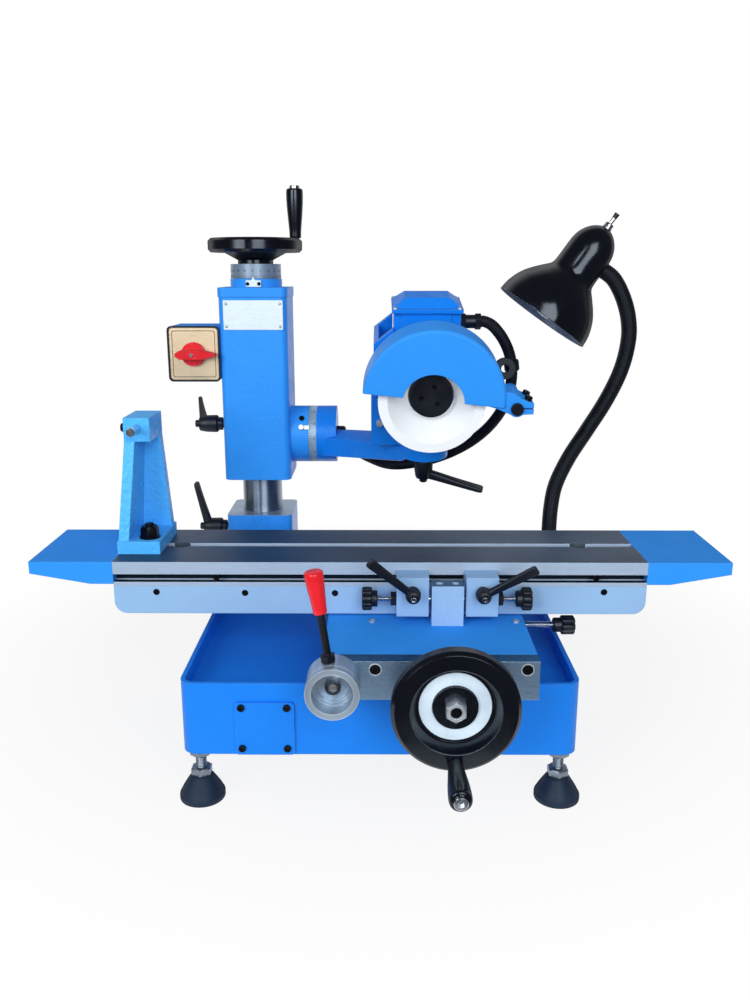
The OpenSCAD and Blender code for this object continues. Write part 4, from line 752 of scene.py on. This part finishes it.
bell = shell(0.0, SHADE_WALL).make("lamp_shade_spun", "lamp", shade_black, "black_steel", 60)
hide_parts("lamp_shade")
shell(SHADE_WALL + LINING_GAP, 2 * SHADE_WALL).make("lamp_shade_lining", "lamp", shade_grey, "black_steel", 60)
# A bead round the rim: a rolled edge, with its bright zinc colour a painted highlight on the rim.
bead = [(SHADE_LINE[0][0] - BEAD_R + BEAD_R * math.cos(a), BEAD_R + BEAD_R * math.sin(a)) for a in turns(8)]
Shape().band(bead, lamp_stand, 96).make("shade_bead", "lamp", zinc, "bright_steel", 60)
Shape().band(BUSHING, lamp_stand).make("toggle_bushing", "lamp", chrome, "bright_steel")


# Cable clip: a collar round the cable and an eye beside it

CLIP_AT, CLIP_EYE = 5, (155.5, 33, 450)
EYE_LINE = ((13.5, -2.6), (13.5, 2.6), (12.8, 3.4), (5.4, 3.4), (4.8, 2.8), (4.8, -2.8), (5.4, -3.4), (12.8, -3.4))
COLLAR_LINE = ((7.1, -6), (9.0, -6), (9.4, -5), (9.4, 5), (9.0, 6), (7.1, 6))
clip_way = Vector(CABLE[CLIP_AT + 1]) - Vector(CABLE[CLIP_AT - 1])
clip = Shape().band(EYE_LINE, facing(CLIP_EYE, FRONT), 40)
clip = clip.band(COLLAR_LINE, facing(CABLE[CLIP_AT], clip_way), 40).build("cable_clip", black_satin, "black_rubber")
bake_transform(clip)


# Feet, with their studs and nuts

PAD_LINE = ((24.4, 0), (25, 0.6), (25, 5.6), (24.4, 6.6), (23.9, 7.4), (23.3, 9), (21.2, 13), (18.2, 18), (15, 23),
            (12.6, 26.5), (11, 28))
PAD_R, PAD_TOP = 25, 28
STUD_R, STUD_PITCH, STUD_DEEP, STUD_LOW, STUD_HIGH = 6.0, 1.75, 0.6, 27, 61
FOOT_NUT, NUT_H, NUT_EDGE = 21.0, 9.0, 1.2
pad_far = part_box("foot_pads")[1]
pads, studs = Shape(), Shape()
for sx in (-1, 1):
    for sy in (-1, 1):
        stand = facing((sx * (pad_far[0] / MM - PAD_R), sy * (pad_far[1] / MM - PAD_R), 0), UP)
        pads.spin(smooth_line(PAD_LINE, 3), stand, 48)
        studs.thread(stand, STUD_R, STUD_LOW, STUD_HIGH, STUD_PITCH, STUD_DEEP)
        for low in (PAD_TOP, STUD_HIGH - NUT_H):
            studs.nut(stand, FOOT_NUT, FOOT_NUT * NUT_FACE, low, low + NUT_H, NUT_EDGE)
pads = pads.make("foot_pads_turned", "base", black_rubber, "black_rubber", 50)
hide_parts("foot_pads")
studs = studs.make("foot_studs_threaded", "base", foot_steel, "bright_steel")
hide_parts("foot_studs")


# Screws and plates of the base, saddle, table and head

COVER_SCREWS = ((-147.5, 117.5), (-98.8, 117.5), (-147.5, 69.7), (-98.8, 69.7))
screws("cover_screws", "base", [facing((x, -223, z), FRONT) for x, z in COVER_SCREWS], 8, 2.6)

bracket = Shape()
for y in (108, 136):
    bracket.hex_head(facing((219, y, 93), RIGHT), 10, 5)
bracket.make("bracket_bolts", "base", chrome, "bright_steel")

# Bright zinc rings round the front block's screws: a painted highlight on the counterbores' edges.
COUNTERBORE_GLINT_LINE = ((5.6, 0), (6.9, 0), (6.6, 0.4), (5.6, 0.4))
block_places = [facing((x, -262, 180), FRONT) for x in (-4.4, 148.6)]
screws("saddle_screws", "saddle", block_places, 11, 0.8, key=5.4, sink=0.7)
rims = Shape()
for place in block_places:
    rims.band(COUNTERBORE_GLINT_LINE, place)
for x in (-8.2, 151.7):
    rims.socket_screw(facing((x, -158, 189), UP), 7.4, 2.5)
rims.make("counterbore_glints_and_screws", "saddle", zinc, "bright_steel")

apron = Shape()
for x, z in ((-252, 216.5), (-152, 215.6), (-50.5, 215.6), (252.4, 217.3)):
    apron.socket_screw(facing((x, -138, z), FRONT), 7.5, 0.5, key=3.8, sink=0.4)
for x in (-184, 243.6):
    apron.socket_screw(facing((x, -131.2, 233), FRONT), 7.5, 4.5)
apron.make("apron_screws", "table", black_oxide, "black_steel")

plate = Shape().plate(facing((-166, 101, 512), FRONT), 78, 38, 0.8, 1.5)
plate.make("name_plate", "head", silver_plate, "satin_aluminium")
rivets = Shape()
for x in (-201, -131):
    for z in (497.5, 526.5):
        rivets.rivet(facing((x, 100.3, z), FRONT), 4.2, 1.5)
rivets.make("plate_rivets", "head", zinc, "bright_steel")

SWITCH_X, SWITCH_Z, SWITCH_FACE, PLATE_FACE, KNOB_FACE = -246.5, 461.5, 105, 104.2, 84.75
box_face, plate_face, knob_face = (facing((SWITCH_X, y, SWITCH_Z), FRONT) for y in (SWITCH_FACE, PLATE_FACE, KNOB_FACE))
Shape().frame(box_face, 69, 73, 2.2, 2.2, 6).make("switch_frame", "head", black_satin, "black_plastic")
Shape().plate(box_face, 64.5, 68.5, 0.9, 4).make("switch_plate", "head", gold_plate, "bronze")
Shape().frame(plate_face, 57, 61, 0.25, 0.7, 3).make("switch_border", "head", ink, "black_plastic")
screws("knob_screw", "switch", [knob_face], 5, 0.8, chrome, "bright_steel", key=2.4)

POINTER = ((-2.4, 4.2), (2.4, 4.2), (0.3, 8.4), (-0.3, 8.4))
index_place = facing((-166.3, 115.4, 551.9), FRONT)
index = Shape().plate(index_place, 20, 8.6, 1.2, 1)
index.rings([[(x, y, z) for x, y in POINTER] for z in (0, 1)], index_place)
index.make("dial_index", "head", silver_plate, "satin_aluminium")
screws("index_screws", "head", [facing((x, 114.3, 551.7), FRONT) for x in (-173.8, -158.8)], 4.6, 1.6)


# Handwheel trim

WHEELS = {"cross_wheel": ((73, -285, 161), FRONT), "lift_wheel": ((-167, 150, 577), UP)}
RING_LINE = ((22.4, 18.2), (22.4, 18.9), (35.2, 18.9), (35.6, 18.2))
WHEEL_STUD = ((5.55, 25.8), (5.55, 30.4), (4.6, 31.2))
# A thin grey ring on the dish lip: a painted highlight where the lip catches the light.
LIP_GLINT_LINE = ((43.6, 32.6), (43.6, 32.9), (44.2, 33.15), (44.5, 33.1), (44.5, 32.6))
WHEEL_NUT_AT = 22.05
for body, (centre, out) in WHEELS.items():
    wheel = facing(centre, out)
    nut_place = facing(Vector(centre) + WHEEL_NUT_AT * Vector(out), out)
    Shape().band(RING_LINE, wheel, 64).make(f"{body}_ring", body, white_enamel, "satin_aluminium")
    Shape().sleeve_nut(nut_place, 19.4, 10.5, 5.6).make(f"{body}_nut", body, zinc, "bright_steel")
    Shape().spin(WHEEL_STUD, wheel, 24).make(f"{body}_stud", body, black_oxide, "black_steel")
    Shape().band(LIP_GLINT_LINE, wheel, 64).make(f"{body}_lip", body, screw_grey, "satin_aluminium")


# Clamp levers. A size is the hub's width and height, and the share of that height where the arm leaves it;
# outlines are in shares of the hub and of the arm, and then come the arm's length and the neck below the hub.

LARGE, SMALL = (24, 26, 0.8), (17, 14, 0.5)
COLUMN_LOCK = facing((-212.3, 150, 212), LEFT, UP)
HEAD_LOCK = facing((-212.3, 150, 361), LEFT, round_heading(68, UP, BACK))
MOTOR_LOCK = LEANING @ facing((56, 34, 361.7), DOWN, round_heading(10, RIGHT, FRONT))
DOG_X, DOG_Z = {"left": 36.25, "right": 112.75}, 227
LEFT_DOG = facing((DOG_X["left"], -164.6, DOG_Z), FRONT, round_heading(138, RIGHT, UP))
RIGHT_DOG = facing((DOG_X["right"], -164.6, DOG_Z), FRONT, round_heading(33, RIGHT, UP))
CLAMP_LEVERS = {
    "column_lock_lever": ("column_lock", COLUMN_LOCK, LARGE, 66, 8),
    "head_lock_lever": ("head_lock", HEAD_LOCK, LARGE, 66, 8),
    "motor_lock_lever": ("motor_lock", MOTOR_LOCK, LARGE, 79, 0),
    "left_dog_lever": ("dog_left_clamp", LEFT_DOG, SMALL, 66, 0),
    "right_dog_lever": ("dog_right_clamp", RIGHT_DOG, SMALL, 66, 0),
}
HUB_LINE = ((0.43, 0.0), (0.49, 0.05), (0.5, 0.12), (0.485, 0.6), (0.43, 0.93), (0.39, 1.0))
ARM_LINE = ((0.0, 0.46, 1.25), (0.2, 0.47, 1.12), (0.5, 0.54, 0.86), (0.8, 0.62, 0.66), (0.94, 0.65, 0.6),
            (0.985, 0.6, 0.52), (1.0, 0.44, 0.3))
ARM_LIFT = math.radians(11)
ARM_WAY = Vector((math.cos(ARM_LIFT), 0, math.sin(ARM_LIFT)))
ARM_OUT = Vector((-ARM_WAY.z, 0, ARM_WAY.x))
ARM_THICK, ARM_LEAST, ARM_ROUND = 0.42, 0.25, 0.36
COLLAR, BUTTON = 0.375, 0.21
COLLAR_H, BUTTON_H, LEVER_STUD_L, LEVER_STUD_R, PIVOT_R, PIVOT_IN = 6, 6, 12, 4.95, 5.3, 9.3
for node, (body, place, (hub, tall, share), arm, neck) in CLAMP_LEVERS.items():
    foot = neck + COLLAR_H
    top = foot + tall
    if body == "motor_lock":
        line = [(PIVOT_R, PIVOT_IN), (PIVOT_R, 0)]
    else:
        line = [(LEVER_STUD_R, -LEVER_STUD_L), (LEVER_STUD_R, neck)]
    line += [(COLLAR * hub, neck), (COLLAR * hub, foot - 0.2)] + [(r * hub, foot + z * tall) for r, z in HUB_LINE]
    line += [((BUTTON + 0.03) * hub, top + 0.1), (BUTTON * hub, top + 0.6), (BUTTON * hub, top + BUTTON_H - 0.8),
             ((BUTTON - 0.04) * hub, top + BUTTON_H)]
    lever = Shape().spin(line, place, 36)
    rings = []
    for far, wide, thick in ARM_LINE:
        size = wide * hub, thick * ARM_THICK * hub
        middle = Vector((0, 0, foot + tall * share)) + arm * far * ARM_WAY
        middle += (ARM_THICK * hub - max(size[1], ARM_LEAST * hub)) / 2 * ARM_OUT
        corners = round_rect(*size, ARM_ROUND * min(size), 0, 6)
        rings.append([middle + Vector((0, p[0], 0)) + p[1] * ARM_OUT for p in corners])
    lever = lever.rings(rings, place).make(f"{node}_moulded", body, black_satin, "black_plastic", 45)
    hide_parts(node)


# Screws with star knobs: rod radius, length inside, where the knob starts, its width and length, its boss, its lobes

DOG_NUT, DOG_NUT_LOW, DOG_NUT_L = 14, 0.3, 6
NOTCH = 0.13
KNOB_PITCH = 1.25
STAR_KNOBS = {
    "left_dog_screw": ("dog_left_stop", facing((18.5, -152, 214.5), LEFT), 3.0, 38.2, 21.0, 26, 17, 18, 9),
    "right_dog_screw": ("dog_right_stop", facing((130.5, -152, 214.5), RIGHT), 3.0, 38.2, 21.0, 26, 17, 18, 9),
    "saddle_lock": ("slide_lock", facing((161, -128, 174), RIGHT), 4, 23.7, 38.0, 22, 24, 16.5, 6),
}
for node, (body, place, rod_r, inside, knob_at, across, long, boss, lobes) in STAR_KNOBS.items():
    knob = Shape().star_knob(place @ Matrix.Translation((0, 0, knob_at)), across, long, boss, lobes, NOTCH * across)
    if body != "slide_lock":
        knob.rings([hexagon(DOG_NUT, DOG_NUT_LOW), hexagon(DOG_NUT, DOG_NUT_LOW + DOG_NUT_L)], place)
    knob = knob.make(f"{node}_knob", body, black_satin, "black_plastic")
    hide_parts(node)
    rod = Shape().spin([(rod_r - 0.2, -inside), (rod_r - 0.2, 0)], place, 20)
    rod.thread(place, rod_r, 0, knob_at + 0.2, KNOB_PITCH).make(f"{node}_thread", body, chrome, "bright_steel", 20)


# Handwheel grips and the traverse lever

GRIPS = {"lift_handle": ("lift_grip", (-113, 150, 610.3), UP), "cross_handle": ("cross_grip", (73, -318.3, 107), FRONT)}
GRIP_LINE = ((5.5, 0), (7.0, 0.3), (7.6, 1.2), (8.0, 10), (9.3, 25), (10.5, 40), (10.95, 50), (11.0, 57), (10.7, 60.5),
             (9.6, 62.2), (8.0, 62.7))
for body, (node, foot, out) in GRIPS.items():
    stand = facing(foot, out)
    grip = Shape().spin(smooth_line(GRIP_LINE), stand, 40)
    grip = grip.make(f"{node}_turned", body, black_gloss, "black_plastic", 50)
    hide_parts(node)
    boss = Shape().rings([circle(6.8, 62.2, 32), circle(6.8, 65.8, 32), circle(6.2, 66.4, 32), hexagon(6, 66.4, 32),
                          hexagon(6, 63.4, 32)], stand)
    boss.make(f"{node}_screw", body, chrome, "bright_steel")

CUP_X, CUP_Z = -46, 170
CUP_LINES = ((26.9, 0.7, -298.2, 0.25), (21.3, 0.7, -298.2, 0.25), (27.15, 0.3, -288.6, 0.8), (20.4, 0.5, -280.2, 0.4))
LEVER_WAY = (-0.14436, 0, 0.98953)
LEVER_LINE = ((5, 0), (6.2, 0.4), (6.8, 1.2), (7.3, 10), (8.5, 25), (9.3, 36), (9.4, 40), (8.9, 42), (7.4, 43.2),
              (4.4, 43.7), (0.3, 43.8))
KNOB_L, KNOB_IN, KNOB_EDGE = 43.8, 0.4, 1.6
LEVER_ROD_R, LEVER_ROD_LOW = 3.9, 22
lever_stand = facing((CUP_X, -280.3, CUP_Z), LEVER_WAY)
lever_end = (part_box("traverse_lever")[1][2] / MM - CUP_Z) / LEVER_WAY[2] - KNOB_EDGE
knob_line = [(r, lever_end - KNOB_L + z) for r, z in smooth_line(LEVER_LINE, 3)]
knob = Shape().spin(knob_line, lever_stand, 40).make("traverse_knob", "traverse", red_plastic, "red_plastic", 60)
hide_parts("traverse_lever")
rod_line = [(LEVER_ROD_R, LEVER_ROD_LOW), (LEVER_ROD_R, lever_end - KNOB_L + KNOB_IN)]
rod = Shape().spin(rod_line, lever_stand, 24).nut(lever_stand, 13.4, 6.2, 27.4, 35.2, 0.8)
rod.make("traverse_rod", "traverse", black_satin, "black_steel")

hub_place = facing((CUP_X, -274.3, CUP_Z), FRONT)
screws("hub_screw", "traverse", [hub_place], 16, 8.8, screw_grey, key=8)
cup = Shape()
for r, wide, y, deep in CUP_LINES:
    cup.band(((r - wide, 0), (r - wide, deep), (r, deep), (r, 0)), facing((CUP_X, y, CUP_Z), FRONT), 72)
cup.make("cup_lines", "traverse", zinc, "bright_steel")


# Screws of the wheelhead, dogs and tailstock

lid = Shape()
for x, y in ((18, 39.3), (95.5, 39.3), (17.3, 104), (94.6, 105)):
    lid.rivet(LEANING @ facing((x, y, 546), UP), 6.6, 2.4)
lid.make("lid_screws", "motor", zinc, "bright_steel")

EAR_OUT, BOSS_OUT, SCREW_OUT = (0.39, 0, 0.92), (0, -0.93, 0.37), (0, -0.77, 0.64)
screws("ear_screws", "guard", [LEANING @ facing((170.1, y, 459.3), EAR_OUT) for y in (-45, -25)], 9, 5)
flange_places = [LEANING @ facing((x, -28, z), FRONT) for x, z in ((63.5, 469.4), (48.1, 455.8), (67.7, 448.7))]
screws("flange_screws", "spindle", flange_places, 6.4, 0.5, key=3.6, sink=0.45)

foot = Shape().hex_head(LEANING @ facing((-0.3, 19, 408.8), FRONT), 9, 4)
foot.make("foot_screw", "motor", zinc, "bright_steel")

boss = Shape().hex_head(facing((-107.2, 113.6, 361.6), BOSS_OUT), 7.5, 3)
boss.plate(facing((-103.2, 113.4, 361.6), BOSS_OUT), 14, 6, 1.1, 1)
boss.make("arm_index", "head", zinc, "bright_steel")
screws("boss_screw", "head", [facing((-107, 120.6, 372.4), SCREW_OUT)], 7, 3)
drum = Shape().hex_head(facing((-60, 150, 347), RIGHT), 19, 12)
drum.make("drum_nut", "arm", black_oxide, "black_steel")

for side, x in DOG_X.items():
    button = facing((x, -190.5, DOG_Z), FRONT)
    screws(f"{side}_dog_button", f"dog_{side}_clamp", [button], 6.4, 1.4, chrome, "bright_steel", key=3.2)

tail_stud = facing((-267.5, -92, 267.3), UP)
tail = Shape().hex_head(tail_stud, 19, 14)
tail.spin(((12, 0), (12, 1.6), (11.4, 2)), tail_stud)
tail.spin(((5, 13.5), (5, 16.6), (4.2, 17.4)), tail_stud, 24)
tail.hex_head(facing((-291.5, -78, 394), LEFT), 9, 5)
tail.make("tailstock_screws", "tail", black_oxide, "black_steel")


# Graduations: plain marks and numbers

MARK_WIDE, MARK_THICK, SHORT_MARK, FIRST_MARK = 0.35, 0.08, 0.6, math.radians(-90)


def graduate(place, radius, marks, every, longest, size, number_at):
    """Marks round Z on a drum, from the frame's zero plane upwards, and plain numbers above the long ones."""
    drum = Shape()
    for k, turn in enumerate(turns(marks)):
        numbered = k % every == 0
        tall = longest if numbered else longest * SHORT_MARK
        out = Vector(polar(1, FIRST_MARK + turn, 0))
        side = (-out.y, out.x, 0)
        spot = facing(out * radius + Vector((0, 0, tall / 2)), out, side)
        drum.block(place @ spot, (MARK_WIDE, tall, MARK_THICK))
        if numbered:
            spot = facing(out * (radius + 0.02) + Vector((0, 0, number_at)), out, side)
            drum.letters(place @ spot, str(k), size)
    return drum


lift_marks = graduate(facing((-167, 150, 558.6), UP), 33.5, 100, 5, 6, 4.6, 9.3)
lift_marks.make("lift_marks", "lift_wheel", ink, "black_plastic")
angle_marks = graduate(facing((-97.4, 150, 347), RIGHT), 39, 72, 6, 5.5, 3.4, 7.9)
angle_marks.make("angle_marks", "arm", ink, "black_plastic")


# Light, background and floor

def light(name, place, aim, size, power):
    """Softbox of a width and height in metres, turned to its aim."""
    data = bpy.data.lights.new(name, "AREA")
    data.shape, data.energy = "RECTANGLE", power
    data.size, data.size_y = size
    lamp = put(name, data)
    lamp.location = place
    lamp.rotation_euler = (Vector(aim) - Vector(place)).to_track_quat("-Z", "Y").to_euler()


LIGHT_AIM, BOX_SIZE = (0, 0, 0.4), (1.9, 2.2)
light("left_box", (-2.15, -3.2, 1.6), LIGHT_AIM, BOX_SIZE, 78)
light("right_box", (0.8, -3.35, 1.6), LIGHT_AIM, BOX_SIZE, 74)

# Direct rays see white. Gloss sees it only behind the object, and a dim room in front. All else gets soft light.
world = bpy.data.worlds.new("studio")
scene.world = world
world.use_nodes = True
sky = Nodes(world.node_tree)
paths = sky.add("ShaderNodeLightPath").outputs
heading = sky.add("ShaderNodeTexCoord").outputs["Generated"]
backward = sky.add("ShaderNodeSeparateXYZ", {0: heading}).outputs[1]
dim = sky.calc("MULTIPLY", paths["Is Glossy Ray"], sky.span(backward, 0.3, 0.75, 0.9, 0.0))
soft = sky.add("ShaderNodeBackground", {"Color": (0.93, 0.96, 1.0), "Strength": 0.38}).outputs[0]
white = {"Color": (1.0, 1.0, 1.0), "Strength": sky.calc("SUBTRACT", 1.0, dim)}
white = sky.add("ShaderNodeBackground", white).outputs[0]
choose = sky.add("ShaderNodeMixShader", {"Fac": sky.direct_rays(paths), 1: soft, 2: white})
sky.add("ShaderNodeOutputWorld", {"Surface": choose.outputs[0]})

# Direct rays see a floor that fades to white, with the object's shadow.
FLOOR_AT, FLOOR_R, FLOOR_SIDES = (0.0, 0.22, 0.0), 0.76, 96
look = Graph("floor", Roughness=0.8, Specular_IOR_Level=0.2)
look.set(Base_Color=look.mix(look.span(look.noise(3, 2), 0.3, 0.7), (0.72, 0.72, 0.725), (0.75, 0.75, 0.752)))
glow = look.add("ShaderNodeEmission", {"Strength": 1.0}).outputs[0]
fade = look.span(look.across(FLOOR_AT, UP), 0.4, 0.95 * FLOOR_R, 0.86, 1.0)
fade = look.calc("MULTIPLY", fade, look.direct_rays(look.add("ShaderNodeLightPath").outputs))
faded = look.add("ShaderNodeMixShader", {"Fac": fade, 1: look.shader.outputs["BSDF"], 2: glow})
look.feed(look.out.inputs["Surface"], faded.outputs[0])
floor_mesh = bpy.data.meshes.new("floor")
floor_points = [Vector(FLOOR_AT) + Vector(p) for p in circle(FLOOR_R, 0, FLOOR_SIDES)]
floor_mesh.from_pydata(floor_points, [], [tuple(range(FLOOR_SIDES))])
floor_mesh.materials.append(look.mat)
floor = put("floor", floor_mesh)

scene.view_settings.view_transform = "Standard"
